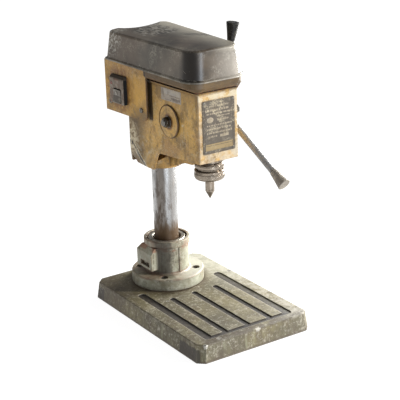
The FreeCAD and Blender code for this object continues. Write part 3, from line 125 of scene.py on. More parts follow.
class BenchDrillMetal(bpy.types.PropertyGroup):
    steel: colour("Ground steel", "Polished column", 172, 172, 172)
    chuck: colour("Chuck steel", "Worn chuck", 150, 138, 124)
    rod: colour("Lever rod", "Worn lever rods", 150, 150, 150)
    fastener: colour("Fasteners", "Screws and nuts", 110, 106, 98)
    bare: colour("Bare metal", "Metal where enamel has chipped off", 176, 172, 162)
    alloy: colour("Alloy", "Turned pulleys", 178, 178, 176)
    spring: colour("Spring steel", "Blued return spring", 70, 74, 88)
    plate: colour("Data plate", "Printed ground of the data plate", 88, 80, 70)


class BenchDrillPlastic(bpy.types.PropertyGroup):
    black: colour("Switch black", "Switch housing", 8, 7, 6)
    grey: colour("Rocker grey", "Switch face and rocker", 112, 98, 86)
    grip: colour("Grip", "Moulded lever grips", 20, 18, 16)
    dusty_grip: colour("Dusty grip", "Grips greyed by dust", 132, 124, 113)
    film: colour("Label film", "Film of the side label", 152, 140, 126)
    belt: colour("Belt rubber", "V-belt", 34, 33, 32)
    lamp: colour("Lamp", "Indicator of the switch", 120, 42, 28)


class BenchDrillFittings(bpy.types.PropertyGroup):
    print_relief: number("Print relief", "Height of the rows on plates", 0.00018, min=0.00005, max=0.001,
                         unit="LENGTH")
    knurl_ribs: IntProperty(name="Knurl ribs", description="Ribs round the chuck sleeve", default=72, min=12,
                            max=160)
    thread_pitch: number("Thread pitch", "Pitch of the stud's thread", 0.00125, min=0.0005, max=0.003,
                         unit="LENGTH")
    bolt_across: number("Hinge bolt", "Width across flats of hinge bolts", 0.007, min=0.003, max=0.02,
                        unit="LENGTH")


class BenchDrillStudio(bpy.types.PropertyGroup):
    camera_place: FloatVectorProperty(name="Camera place", description="Where the camera stands",
                                      subtype="XYZ", unit="LENGTH", default=(-1.1436, -1.7717, 0.97846))
    azimuth: number("Azimuth", "Turn of the view about the vertical", math.radians(-33.0571), subtype="ANGLE")
    elevation: number("Elevation", "Height of the view over the horizon", math.radians(19.7512),
                      subtype="ANGLE")
    roll: number("Roll", "Tilt of the picture", math.radians(-1.7935), subtype="ANGLE")
    lens: number("Lens", "Focal length in millimetres on a 36 mm sensor", 111.282, min=20, max=300)
    key: number("Key light", "Strength of the soft sun", 4.1, min=0)
    rim: number("Rim light", "Strength of the panel on the right", 11.5, min=0)
    strip: number("Strip light", "Strength of the narrow light in front", 36, min=0)
    fill: number("Fill light", "Strength of the surrounding light", 0.3, min=0)
    floor: colour("Floor", "Plain pale floor", 140, 140, 139)


# ---- finish builder
class Finish:
    """Node tree of one finish. Its patterns are read at each point's own place, in metres."""

    def __init__(self, name):
        self.material = bpy.data.materials.new(name)
        self.material.use_nodes = True
        self.tree = self.material.node_tree
        self.tree.nodes.clear()
        self.place = self.add("TexCoord").outputs["Object"]
        self.x, self.y, self.z = self.add("SeparateXYZ", {0: self.place}).outputs
        self.paint = palette("paint")
        self.colour = None

    def add(self, kind, inputs=None, **settings):
        node = self.tree.nodes.new("ShaderNode" + kind)
        for key, value in settings.items():
            setattr(node, key, value)
        for key, value in (inputs or {}).items():
            if isinstance(value, bpy.types.NodeSocket):
                self.tree.links.new(value, node.inputs[key])
            else:
                node.inputs[key].default_value = value
        return node

    def calc(self, operation, a, b=0, c=0):
        return self.add("Math", {0: a, 1: b, 2: c}, operation=operation).outputs[0]

    def scaled(self, value, factor, added):
        return self.calc("MULTIPLY_ADD", value, factor, added)

    def inverse(self, mask):
        return self.calc("SUBTRACT", 1, mask)

    def times(self, *masks):
        return reduce(lambda a, b: self.calc("MULTIPLY", a, b), masks)

    def either(self, *masks):
        return reduce(lambda a, b: self.calc("MAXIMUM", a, b), masks)

    def rise(self, value, low, high):
        """0 at low and 1 at high, smooth between them. Low may be the larger."""
        node = self.add("MapRange", {"Value": value, "From Min": low, "From Max": high},
                        interpolation_type="SMOOTHSTEP")
        return node.outputs["Result"]

    def within(self, value, low, high, soft):
        return self.times(self.rise(value, low - soft, low), self.rise(value, high + soft, high))

    def along(self, direction, origin=(0, 0, 0)):
        """How far each point lies from the origin along a direction."""
        arm = self.vector("SUBTRACT", self.place, origin)[0]
        return self.vector("DOT_PRODUCT", arm, direction)["Value"]

    def ragged(self, value, reach, scale=90, rough=0.65):
        """The value pushed up and down by up to half of reach."""
        return self.scaled(self.calc("SUBTRACT", self.noise(scale, 5, rough), 0.5), reach, value)

    def noise(self, scale, detail=4, rough=0.55, stretch=None, twist=0):
        place = self.place
        if stretch:
            place = self.add("Mapping", {"Vector": place, "Scale": stretch}).outputs[0]
        node = self.add("TexNoise", {"Vector": place, "Scale": scale, "Detail": detail,
                                     "Roughness": rough, "Distortion": twist})
        return node.outputs["Fac"]

    def cloud(self, low, high, *pattern):
        """Patches of noise. pattern is what noise takes."""
        return self.rise(self.noise(*pattern), low, high)

    def blend(self, factor, under, over):
        node = self.add("Mix", {0: factor, 6: under, 7: over}, data_type="RGBA")
        return node.outputs[2]

    def wash(self, tone, *masks):
        """Lays a tone over the colour so far, through the product of the masks.

        The tone is the name of a paint, three values of a paint card, or a linear colour."""
        if isinstance(tone, str):
            tone = getattr(self.paint, tone)
        elif isinstance(tone, tuple):
            tone = paint_tone(*tone)
        self.colour = self.blend(self.times(*masks), self.colour, tone)

    def amount(self, factor, under, over):
        node = self.add("Mix", {0: factor, 2: under, 3: over}, data_type="FLOAT")
        return node.outputs[0]

    def near(self, point, radius, soft, ragged=0, scale=90):
        """1 round a point, fading over soft, with an edge made ragged by noise."""
        distance = self.vector("DISTANCE", self.place, point)["Value"]
        if ragged:
            distance = self.ragged(distance, ragged, scale, 0.6)
        return self.rise(distance, radius + soft, radius)

    def vector(self, operation, a, b):
        return self.add("VectorMath", {0: a, 1: b}, operation=operation).outputs

    def bevel(self, radius):
        return self.add("Bevel", {"Radius": radius}, samples=4).outputs[0]

    def edges(self, width, low=0.02, high=0.2):
        """1 along sharp edges and 0 on open faces."""
        flat = self.add("NewGeometry").outputs["Normal"]
        likeness = self.vector("DOT_PRODUCT", self.bevel(width), flat)["Value"]
        return self.rise(self.inverse(likeness), low, high)

    def corners(self, reach):
        """1 in tight nooks, from ambient occlusion: a mask for dirt that gathers there and for painted shade.
        """
        node = self.add("AmbientOcclusion", {"Distance": reach}, samples=4)
        return self.rise(node.outputs["AO"], 0.85, 0.35)

    def scratches(self, scale, width, share=0.56, stretch=None):
        """Thin wandering lines, where a slow pattern crosses its middle value."""
        slow = self.noise(scale, 2, 0.45, stretch, 0.8)
        line = self.rise(self.calc("ABSOLUTE", self.calc("SUBTRACT", slow, 0.5)), width, width * 0.3)
        return self.times(line, self.rise(self.noise(scale * 1.9 + 3, 4), share, share + 0.06))

    def normal(self, height, depth, round_edges=0):
        inputs = {"Height": height, "Distance": depth, "Strength": 1}
        if round_edges:
            inputs["Normal"] = self.bevel(round_edges)
        return self.add("Bump", inputs).outputs[0]

    def surface(self, rough, height=None, depth=0, round_edges=0, **sockets):
        """Closes the tree on the colour so far. Names of sockets have underscores for spaces."""
        values = {key.replace("_", " "): value for key, value in sockets.items()}
        values.update({"Base Color": self.colour, "Roughness": rough})
        if height is not None:
            values["Normal"] = self.normal(height, depth, round_edges)
        shader = self.add("BsdfPrincipled", values)
        output = self.add("OutputMaterial", {"Surface": shader.outputs[0]})
        self.tree.nodes.active = output
        return self.material


def dress(material, *nodes):
    """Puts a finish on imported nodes."""
    for name in nodes:
        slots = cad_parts[name].data.materials
        slots.clear()
        slots.append(material)


# ---- enamel finishes
def head_enamel(name, ground, marks):
    """Ochre enamel with oil film, chalky rubbing, brown edges and painted shade in hollows. marks adds the
    wear, painted light and painted shade of single places.
    """
    coat = Finish(name)
    broad = coat.noise(13, 5, 0.62)
    blotch = coat.noise(34, 7, 0.64)
    fine = coat.noise(260, 8, 0.72)
    coat.colour = coat.blend(coat.rise(broad, 0.4, 0.58), coat.paint.head_shade, ground)
    sunny = coat.times(coat.cloud(0.52, 0.62, 21, 5, 0.6), 0.45)
    coat.wash((204, 158, 66), sunny)
    coat.wash("oil_film", coat.rise(blotch, 0.49, 0.63), 0.5)
    coat.wash("oil_film", coat.cloud(0.45, 0.66, 150, 6, 0.75), 0.3)
    coat.wash("oil_film", coat.cloud(0.54, 0.66, 60, 5, 0.6, (1, 1, 0.16)), 0.4)
    chalk = coat.times(coat.cloud(0.51, 0.6, 48, 8, 0.74), coat.rise(fine, 0.42, 0.56))
    low = coat.rise(coat.z, 0.372, 0.3)
    chalk_amount = coat.scaled(low, 0.16, 0.34)
    coat.wash("cream", chalk, chalk_amount)
    coat.wash("cream", coat.rise(fine, 0.6, 0.66), 0.6)
    pit = coat.cloud(0.63, 0.69, 330, 3, 0.6)
    coat.wash("oil_film", pit, 0.8)
    coat.wash("cream", coat.scratches(22, 0.006), 0.6)
    coat.wash("cream", coat.scratches(64, 0.007, 0.54, (1, 0.7, 1.3)), 0.55)
    coat.wash("oil_film", coat.scratches(31, 0.005, 0.5), 0.65)
    marks(coat)
    # Darkens the hollows as oil film and as painted shade.
    coat.wash("oil_film", coat.corners(0.012), 0.7)
    worn = coat.times(coat.edges(0.0022), coat.cloud(0.4, 0.56, 130, 5, 0.65))
    coat.wash("primer", worn, 0.8)
    height = coat.scaled(fine, 0.35, coat.times(chalk, -0.4))
    height = coat.calc("SUBTRACT", height, coat.either(worn, pit))
    rough = coat.amount(coat.either(chalk, worn), 0.47, 0.75)
    return coat.surface(rough, height, 0.00022, 0.0012, Specular_IOR_Level=0.35)


def wall_point(y, z, out=0):
    """Point on the head's left wall at y and z, in metres, moved out from it."""
    return Vector((-(WALL_HALF_WIDTH + WALL_SPLAY * (y - WALL_FRONT)) - out, y, z))


def casting_marks(coat):
    """Wear, painted shade and painted light that belong to single places on the head casting."""
    front = coat.rise(coat.y, -0.0765, -0.0795)

    def gouge(reach):
        """Slanting band down the lower back corner of the left wall."""
        line = coat.ragged(coat.along((0, -1.02, 1)), 0.012, 120)
        band = coat.within(line, 0.188 - reach, 0.188 + reach, 0.0006)
        return coat.times(band, coat.within(coat.z, 0.272, 0.322, 0.006),
                          coat.rise(coat.x, -0.044, -0.048))

    # Painted shade: the band just under the cover's lip is darkened as if shaded by the lip.
    shade_under_cover_lip = coat.scaled(coat.noise(70, 6), 0.016, coat.z)
    coat.wash((66, 52, 34), coat.rise(shade_under_cover_lip, 0.438, 0.456), 0.86)
    over_plate = coat.within(coat.z, 0.43, 0.437, 0.004)
    coat.wash("cream", front, over_plate, coat.cloud(0.4, 0.52, 75, 7, 0.7), 0.9)
    # Chalky patches on the front face, laid stronger toward the right as painted light.
    chalk = coat.times(front, coat.cloud(0.38, 0.56, 38, 8, 0.72), coat.rise(coat.z, 0.44, 0.437))
    coat.wash((206, 196, 176), chalk, coat.scaled(coat.x, 4, 0.62))
    # Painted shade: the side walls are darkened high up, under the cover.
    shade_high_on_walls = coat.rise(coat.ragged(coat.z, 0.05, 26), 0.4, 0.436)
    coat.wash((92, 70, 40), shade_high_on_walls, coat.rise(coat.y, -0.08, -0.078), 0.42)
    coat.wash("oil_film", coat.rise(coat.ragged(coat.y, 0.03, 40), 0.064, 0.104), 0.8)
    coat.wash("cream", gouge(0.0085), coat.cloud(0.42, 0.56, 160, 6, 0.7))
    coat.wash((52, 42, 32), gouge(0.0052), 0.95)
    rubbed_back = coat.near(wall_point(0.134, 0.322), 0.022, 0.022, 0.03, 60)
    coat.wash("cream", rubbed_back, coat.cloud(0.46, 0.54, 110, 8, 0.75), 0.85)
    rubbed_foot = coat.near(wall_point(0.08, 0.3), 0.018, 0.04, 0.03, 50)
    coat.wash("dust", rubbed_foot, coat.cloud(0.5, 0.6, 90, 8, 0.75), 0.35)
    # Painted shade: a near-black strip on the wall just behind the switch plate's front edge, where the gap
    # between plate and wall is shaded.
    shade_behind_switch_plate = coat.within(coat.y, SWITCH_PLATE_FRONT - 0.004, SWITCH_PLATE_FRONT + 0.006, 0.0012)
    coat.wash((20, 16, 12), shade_behind_switch_plate, coat.rise(coat.z, 0.366, 0.37), 0.9)


def switch_plate_marks(coat):
    """Rust round the switch, a front edge darkened as painted shade, and two patches."""
    halo = coat.near((SWITCH_LOW + SWITCH_HIGH) * 0.5, 0.033, 0.02, 0.024, 60)
    coat.wash("rust", halo, coat.cloud(0.38, 0.56, 120, 6, 0.7), 0.7)
    coat.wash("oil_film", coat.near((-0.058, 0.075, 0.372), 0.012, 0.02, 0.03), 0.55)
    coat.wash((206, 158, 72), coat.near((-0.059, 0.078, 0.415), 0.014, 0.03, 0.02, 40), 0.5)
    # Painted shade on the plate's front edge.
    shaded_front_edge = coat.rise(coat.y, SWITCH_PLATE_FRONT + 0.0012, SWITCH_PLATE_FRONT + 0.0004)
    coat.wash("oil_film", shaded_front_edge, 0.85)


def spring_cap_marks(coat):
    """Rust round the nut, a rim darkened as painted shade, and a turned ring."""
    middle = Vector((CAP_LOW.x, (CAP_LOW.y + CAP_HIGH.y) / 2, (CAP_LOW.z + CAP_HIGH.z) / 2))
    coat.wash("rust", coat.near(middle, 0.0125, 0.005, 0.006, 120), 0.7)
    # Painted shade round the cap's rim.
    coat.wash("oil_film", coat.inverse(coat.near(middle, 0.0276, 0.0012)), 0.85)
    ring = coat.calc("SUBTRACT", coat.near(middle, 0.0215, 0.0006), coat.near(middle, 0.0207, 0.0006))
    coat.wash("oil_film", ring, 0.35)


def cover_enamel():
    coat = Finish("cover_enamel")
    broad = coat.noise(8, 4, 0.6)
    fine = coat.noise(300, 8, 0.7)
    coat.colour = coat.blend(coat.rise(broad, 0.38, 0.62), coat.paint.cover_dark, coat.paint.cover_brown)
    coat.wash("oil_film", coat.cloud(0.52, 0.68, 36, 6, 0.62, (1, 0.35, 1)), 0.35)
    dusty = coat.times(coat.cloud(0.46, 0.66, 26, 8, 0.7), coat.rise(fine, 0.42, 0.62))
    coat.wash("dust", dusty, 0.42)
    flank = coat.times(coat.within(coat.ragged(coat.y, 0.03, 30), -0.055, 0.06, 0.03),
                       coat.rise(coat.x, -0.04, -0.052))
    coat.wash("dust", flank, 0.1)
    # Painted shade: a dark band down the left side just behind the front corner.
    corner_painted_shade = coat.times(coat.within(coat.ragged(coat.y, 0.01, 40), -0.088, -0.064, 0.018),
                             coat.rise(coat.x, -0.03, -0.044),
                             coat.rise(coat.z, COVER_HIGH.z, COVER_HIGH.z - 0.006))
    coat.wash((22, 18, 14), corner_painted_shade, 0.9)
    # Painted highlight: the front is lightened, more toward the right.
    front_painted_highlight = coat.times(coat.rise(coat.y, -0.079, -0.086),
                      coat.rise(coat.ragged(coat.x, 0.012, 160), -0.03, 0.044))
    coat.wash((206, 200, 190), front_painted_highlight, 0.5)
    # Painted light: the top is lightened toward the right with the dust colour.
    top_painted_light_right = coat.times(coat.rise(coat.x, -0.02, 0.06),
                           coat.rise(coat.z, COVER_HIGH.z - 0.012, COVER_HIGH.z - 0.003))
    coat.wash("dust", top_painted_light_right, 0.72)
    back = Vector((-0.004, 0.108, COVER_HIGH.z - 0.002))
    scuffed = coat.near(back, 0.032, 0.016, 0.026, 60)
    coat.wash((30, 26, 20), scuffed, coat.cloud(0.4, 0.55, 90, 8, 0.75), 0.85)
    rubs = coat.times(scuffed, coat.cloud(0.5, 0.55, 190, 6, 0.7, (1, 0.4, 1)))
    corner = coat.near((-0.066, 0.172, COVER_HIGH.z - 0.014), 0.026, 0.018, 0.02)
    chips = coat.times(corner, coat.cloud(0.5, 0.54, 170, 6, 0.7))
    edge = coat.times(coat.edges(0.003, 0.01, 0.12), coat.cloud(0.44, 0.6, 120, 6, 0.7))
    bare = coat.either(coat.times(rubs, 0.7), chips)
    coat.wash(palette("metal").bare, bare)
    coat.wash("dust", edge, 0.5)
    lip = coat.within(coat.z, COVER_LOW.z, COVER_LOW.z + 0.0022, 0.0006)
    coat.wash("dust", lip, coat.rise(broad, 0.4, 0.6), 0.35)
    coat.wash("dust", coat.scratches(26, 0.004, 0.54, (1, 0.5, 1)), 0.45)
    height = coat.scaled(fine, 0.3, coat.times(bare, -1))
    rough = coat.amount(coat.either(dusty, bare), 0.36, 0.6)
    return coat.surface(rough, height, 0.00012, 0.0008, Specular_IOR_Level=0.34)


def base_enamel():
    coat = Finish("base_enamel")
    top = BASE_HIGH.z
    broad = coat.noise(9, 4, 0.6)
    fine = coat.noise(240, 8, 0.72)
    coat.colour = coat.blend(coat.rise(broad, 0.36, 0.62), coat.paint.base_moss, coat.paint.base_olive)
    mottle = coat.cloud(0.46, 0.64, 42, 8, 0.7)
    coat.wash("oil_film", mottle, 0.5)
    coat.wash("oil_film", coat.cloud(0.5, 0.62, 190, 6, 0.75), 0.38)
    coat.wash("dust", coat.cloud(0.55, 0.6, 150, 5, 0.75), 0.42)
    chalk = coat.times(coat.cloud(0.5, 0.62, 55, 8, 0.75), coat.rise(fine, 0.42, 0.6))
    coat.wash("dust", chalk, 0.5)
    side = coat.rise(coat.z, top - 0.001, top - 0.0045)
    coat.wash("oil_film", side, coat.cloud(0.48, 0.62, 75, 6, 0.65, (1, 1, 0.1)), 0.5)
    coat.wash((150, 150, 122), side, coat.cloud(0.54, 0.66, 64, 6, 0.65, (1, 1, 0.14)), 0.42)
    front_rim = coat.times(coat.rise(coat.y, -0.15, -0.172), coat.cloud(0.38, 0.58, 80, 6, 0.7))
    coat.wash("oil_film", front_rim, coat.calc("SUBTRACT", 0.75, coat.times(side, 0.75)))
    foot = coat.times(coat.rise(coat.z, 0.006, 0), 0.75)
    coat.wash("oil_film", foot)
    gutters = coat.times(coat.rise(coat.z, top - 0.0006, top - 0.0014),
                         coat.within(coat.x, -0.098, 0.098, 0.001),
                         coat.within(coat.y, -0.168, 0.076, 0.001))
    # Dust patches on the right part of the base, which also stand in for painted light there.
    right_dust_and_painted_light = coat.times(coat.rise(coat.x, 0.056, 0.098), coat.cloud(0.38, 0.6, 60, 7, 0.7))
    coat.wash("dust", right_dust_and_painted_light, coat.scaled(side, -0.5, 0.62))
    shaded = coat.times(coat.rise(coat.ragged(coat.x, 0.03, 40), -0.05, -0.1),
                        coat.rise(coat.y, 0.04, 0.11))
    coat.wash("oil_film", shaded, 0.5)
    # Painted light: the right and rear of the base are lightened.
    painted_light_right_rear = coat.times(coat.rise(coat.x, 0.02, 0.11), coat.rise(coat.y, -0.06, 0.12))
    coat.wash((206, 206, 190), painted_light_right_rear, 0.45)
    stain = coat.near((0, 0.106, top), 0.072, 0.016, 0.026, 70)
    coat.wash("oil_film", stain, 0.55)
    rubs = [coat.times(coat.within(coat.y, y0, y1, 0.003), coat.rise(coat.x, -0.112, -0.1165),
                       coat.rise(coat.scaled(coat.noise(90, 5), 0.008, coat.z), 0.03, 0.026))
            for y0, y1 in ((-0.176, -0.12), (0.15, 0.176))]
    coat.wash((54, 46, 38), coat.either(*rubs), 0.85)
    places = (((-0.116, 0.176, 0.03), 0.01), ((-0.106, -0.182, 0.031), 0.008),
              ((0.004, -0.183, 0.032), 0.009), ((-0.072, -0.172, 0.032), 0.007),
              ((0.048, -0.118, 0.031), 0.006), ((0.112, 0.06, 0.032), 0.008), ((-0.06, 0.012, 0.032), 0.005))
    chips = [coat.near(point, size * 0.55, 0.0012, size * 1.6, 150) for point, size in places]
    rim = coat.times(coat.edges(0.0026), coat.cloud(0.54, 0.62, 85, 6, 0.7))
    chip = coat.either(*chips, coat.times(rim, 0.8))
    open_top = coat.inverse(gutters)
    coat.wash("dust", coat.edges(0.004, 0.01, 0.15), open_top, 0.35)
    # Darkens the hollows as oil film and as painted shade.
    coat.wash("oil_film", coat.corners(0.01), 0.75)
    chip = coat.times(chip, open_top)
    coat.wash(palette("metal").bare, chip, 0.9)
    coat.wash("dust", coat.scratches(18, 0.005, 0.52), 0.5)
    # The gutters are laid darker, fading out toward the right-hand gutter.
    gutter_darkening = coat.cloud(0.3, 0.62, 70, 6, 0.7)
    gutter_darkening = coat.times(gutters, coat.scaled(gutter_darkening, 0.22, 0.74), coat.rise(coat.x, 0.11, 0.078))
    coat.wash((44, 37, 34), gutter_darkening)
    height = coat.scaled(fine, 0.6, coat.times(chip, -1.4))
    height = coat.scaled(mottle, -0.4, height)
    rough = coat.amount(chalk, 0.55, 0.8)
    rough = coat.amount(chip, rough, 0.38)
    return coat.surface(rough, height, 0.00035, 0.0016, Metallic=coat.times(chip, 0.7))


def socket_enamel(name):
    coat = Finish(name)
    broad = coat.noise(16, 4, 0.6)
    fine = coat.noise(230, 8, 0.72)
    coat.colour = coat.blend(coat.rise(broad, 0.38, 0.64), paint_tone(140, 134, 112),
                             coat.paint.socket_grey)
    streak = coat.cloud(0.5, 0.62, 95, 6, 0.66, (1, 1, 0.12))
    upper = coat.rise(coat.z, 0.05, 0.062)
    coat.wash("oil_film", streak, upper, 0.6)
    coat.wash("oil_film", coat.cloud(0.52, 0.64, 80, 8, 0.72), 0.5)
    chalk = coat.times(coat.cloud(0.46, 0.6, 60, 8, 0.75), coat.rise(fine, 0.4, 0.58))
    coat.wash((214, 212, 196), chalk, 0.45)
    # Darkens the hollows as oil film and as painted shade.
    coat.wash("oil_film", coat.corners(0.014), 0.75)
    edge = coat.times(coat.edges(0.003, 0.01, 0.14), coat.cloud(0.42, 0.56, 70, 6, 0.7))
    coat.wash("primer", edge, 0.75)
    under = coat.times(coat.within(coat.z, 0.1035, 0.1095, 0.003), coat.cloud(0.4, 0.6, 70, 6))
    coat.wash("primer", under, 0.7)
    collar = coat.times(coat.rise(coat.z, COLLAR_LOW.z - 0.0004, COLLAR_LOW.z),
                        coat.cloud(0.36, 0.6, 65, 6, 0.7))
    coat.wash((148, 112, 92), collar, 0.5)
    hem = coat.times(coat.within(coat.z, FLANGE_TOP, FLANGE_TOP + 0.002, 0.004),
                     coat.rise(broad, 0.42, 0.55))
    coat.wash("primer", hem, 0.4)
    # Painted shadow of the lug on the left of the barrel.
    lug_shadow_on_barrel = coat.times(coat.within(coat.ragged(coat.x, 0.006, 60), -0.037, -0.019, 0.006),
                     coat.rise(coat.y, 0.106, 0.092), upper)
    coat.wash((56, 48, 36), lug_shadow_on_barrel, 0.75)
    # Painted highlight along the flange's top rim, brighter toward the right.
    flange_rim_highlight = coat.times(coat.within(coat.z, FLANGE_TOP - 0.0008, FLANGE_TOP + 0.002, 0.0004), 0.5)
    coat.wash((222, 226, 214), flange_rim_highlight, coat.rise(coat.x, -0.03, 0.04))
    height = coat.scaled(fine, 0.7, coat.times(edge, -0.8))
    rough = coat.amount(chalk, 0.5, 0.78)
    return coat.surface(rough, height, 0.0004, 0.0014)


# ---- metal finishes
def column_steel():
    """Polished tube: fine drawn lines, brown freckles, rust rising from the foot and painted dark reflection
    bands.
    """
    coat = Finish("column_steel")
    middle = ((COLUMN_LOW.x + COLUMN_HIGH.x) / 2, (COLUMN_LOW.y + COLUMN_HIGH.y) / 2, 0)
    # Distance across the column as the camera sees it, for the painted reflection bands.
    across_camera_view = coat.along((0.839, -0.545, 0), middle)
    drawn = coat.noise(420, 4, 0.6, (1, 1, 0.03))
    freckle = coat.cloud(0.56, 0.64, 120, 8, 0.75)
    tall = coat.cloud(0.46, 0.62, 110, 6, 0.7, (1, 1, 0.08))
    foot = coat.scaled(coat.noise(70, 6, 0.65, (1, 1, 0.25)), -0.075, coat.z)
    low = coat.rise(foot, 0.126, 0.096)
    # Painted reflection: a dark band down the column, left of the middle as the camera sees it.
    dark_reflection_band = coat.within(coat.ragged(across_camera_view, 0.006, 45), -0.013, -0.001, 0.004)
    coat.colour = coat.blend(coat.times(coat.rise(drawn, 0.4, 0.62), 0.25), palette("metal").steel,
                             paint_tone(120, 118, 116))
    blots = coat.cloud(0.47, 0.58, 85, 7, 0.72, (1, 1, 0.3))
    coat.wash((78, 66, 54), dark_reflection_band, 0.66)
    # Painted reflection: a faint dark band near the right edge as the camera sees it.
    right_dark_reflection = coat.within(coat.ragged(across_camera_view, 0.008, 45), 0.01, 0.0135, 0.003)
    coat.wash((84, 72, 56), right_dark_reflection, 0.18)
    coat.wash((92, 76, 56), tall, 0.24)
    coat.wash((74, 58, 40), blots, coat.rise(coat.z, 0.29, 0.17), 0.6)
    coat.wash("oil_film", freckle, 0.35)
    coat.wash((78, 54, 20), low, 0.95)
    rough = coat.amount(coat.either(low, freckle, blots), 0.2, 0.5)
    rough = coat.scaled(drawn, 0.12, rough)
    shine = coat.inverse(coat.times(coat.either(low, coat.times(freckle, 0.6)), 0.65))
    height = coat.scaled(drawn, 0.3, coat.times(freckle, -0.6))
    return coat.surface(rough, height, 0.00006, Metallic=shine)


def worn_metal(name, tone, rough_low=0.3, rough_high=0.6, dirt=0.6, grain=180, lathe=0, freckles=0.5,
               shine=0.9):
    """Worn bare metal: darker in hollows as dirt and painted shade, lighter on edges, with dirt in its grain.
    """
    coat = Finish(name)
    fine = coat.noise(grain * 1.6, 6, 0.7)
    blotch = coat.cloud(0.48, 0.64, grain * 0.5, 7, 0.7)
    coat.colour = coat.blend(coat.times(blotch, dirt), tone, coat.paint.oil_film)
    coat.wash("rust", coat.cloud(0.6, 0.66, grain * 0.9, 6, 0.75), freckles)
    # Darkens the hollows as oil film and as painted shade.
    coat.wash("oil_film", coat.corners(0.004), 0.75)
    coat.wash((206, 200, 188), coat.edges(0.001), coat.rise(fine, 0.36, 0.55), 0.5)
    height = fine
    if lathe:
        rings = coat.noise(lathe, 2, 0.5, (0.02, 0.02, 1))
        height = coat.scaled(rings, 1.5, fine)
    rough = coat.amount(blotch, rough_low, rough_high)
    return coat.surface(rough, height, 0.00008, 0.0005, Metallic=coat.scaled(blotch, -0.5 * shine, shine))


def moulded_plastic(name, tone, rough=0.5, dust=0.35, grain=260, gloss=0.5):
    coat = Finish(name)
    fine = coat.noise(grain, 6, 0.7)
    haze = coat.cloud(0.48, 0.66, grain * 0.35, 7, 0.7)
    coat.colour = coat.blend(coat.times(haze, dust), tone, coat.paint.dust)
    # Darkens the hollows as dirt and as painted shade.
    coat.wash((20, 18, 16), coat.corners(0.004), 0.7)
    coat.wash("dust", coat.edges(0.0012), coat.rise(fine, 0.36, 0.56), 0.45)
    coat.wash("dust", coat.scratches(60, 0.006, 0.55), 0.4)
    return coat.surface(coat.amount(haze, rough, rough + 0.2), fine, 0.00007, 0.0006,
                        Specular_IOR_Level=gloss)


def switch_housing():
    """Black box with a grey printed front."""
    plastic = palette("plastic")
    coat = Finish("switch_housing")
    fine = coat.noise(280, 6, 0.7)
    outward = coat.along((-1, -WALL_SPLAY, 0))
    face = -SWITCH_LOW.x - WALL_SPLAY * SWITCH_HIGH.y
    front = coat.rise(outward, face - 0.0018, face - 0.0008)
    haze = coat.cloud(0.44, 0.62, 90, 7, 0.72)
    coat.colour = coat.blend(coat.times(haze, 0.35), plastic.grey, coat.paint.dust)
    coat.wash("primer", coat.cloud(0.5, 0.64, 70, 6, 0.7), 0.5)
    coat.colour = coat.blend(front, plastic.black, coat.colour)
    coat.wash((88, 78, 66), coat.rise(coat.z, SWITCH_HIGH.z - 0.0062, SWITCH_HIGH.z - 0.0052), 0.55)
    coat.wash("dust", coat.edges(0.001), coat.rise(fine, 0.42, 0.6), front, 0.4)
    # Darkens the hollows as dirt and as painted shade.
    coat.wash((16, 14, 12), coat.corners(0.004), 0.75)
    return coat.surface(coat.amount(front, 0.75, 0.5), fine, 0.00007, 0.0006, Specular_IOR_Level=0.25)


def printed_ground(name, tone, wear=0.5):
    """Thin printed sheet: even ground, rubbed paler in patches."""
    coat = Finish(name)
    fine = coat.noise(520, 6, 0.7)
    rub = coat.times(coat.cloud(0.48, 0.62, 80, 8, 0.75), coat.rise(fine, 0.42, 0.6))
    upper = coat.scaled(coat.rise(coat.z, 0.375, 0.395), 0.3, wear)
    coat.colour = coat.blend(coat.times(rub, upper), tone, coat.paint.cream)
    coat.wash("oil_film", coat.cloud(0.52, 0.66, 60, 6, 0.65), 0.4)
    return coat.surface(coat.amount(rub, 0.42, 0.66), fine, 0.00003, Metallic=0.15)


def belt_rubber():
    coat = Finish("belt_rubber")
    weave = coat.noise(900, 3, 0.6, (1, 0.35, 1))
    worn = coat.cloud(0.5, 0.66, 120, 6, 0.7)
    coat.colour = coat.blend(coat.times(worn, 0.3), palette("plastic").belt, coat.paint.dust)
    return coat.surface(coat.amount(worn, 0.7, 0.86), weave, 0.0002)


# ---- mesh helpers
def new_object(name, data):
    made = bpy.data.objects.new(name, data)
    bpy.context.scene.collection.objects.link(made)
    return made


def finish_piece(name, shape, material, body, smooth=30):
    """Closes a bmesh into a piece that rides on a body."""
    bmesh.ops.remove_doubles(shape, verts=shape.verts, dist=1e-7)
    bmesh.ops.recalc_face_normals(shape, faces=shape.faces)
    mesh = bpy.data.meshes.new(name)
    shape.to_mesh(mesh)
    shape.free()
    mesh.materials.append(material)
    mesh.shade_smooth()
    mesh.set_sharp_from_angle(angle=math.radians(smooth))
    piece = new_object(name, mesh)
    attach(piece, body)


def facing(origin, across, up):
    """Matrix that lays X along across, Y along up and Z out of the face."""
    across = across.normalized()
    up = up.normalized()
    turn = Matrix((across, up, across.cross(up))).transposed().to_4x4()
    return Matrix.Translation(origin) @ turn


def outer_face(made, place):
    """The new face that looks out along the place's Z, and that direction."""
    out = (place.to_3x3() @ Z_AXIS).normalized()
    faces = {face for vert in made["verts"] for face in vert.link_faces}
    return max(faces, key=lambda face: face.calc_center_median().dot(out)), out


def add_block(shape, place, x, y, width, height, relief):
    """Block on a face, its middle at x and y. Returns its outer face and the way out."""
    scale = Matrix.Diagonal((width, height, relief, 1))
    move = Matrix.Translation((x, y, relief / 2))
    return outer_face(bmesh.ops.create_cube(shape, size=1, matrix=place @ move @ scale), place)


def bevel_rim(shape, face, offset, segments):
    bmesh.ops.bevel(shape, geom=list(face.edges), offset=offset, offset_type="OFFSET", segments=segments,
                    profile=0.5, affect="EDGES", material=-1)


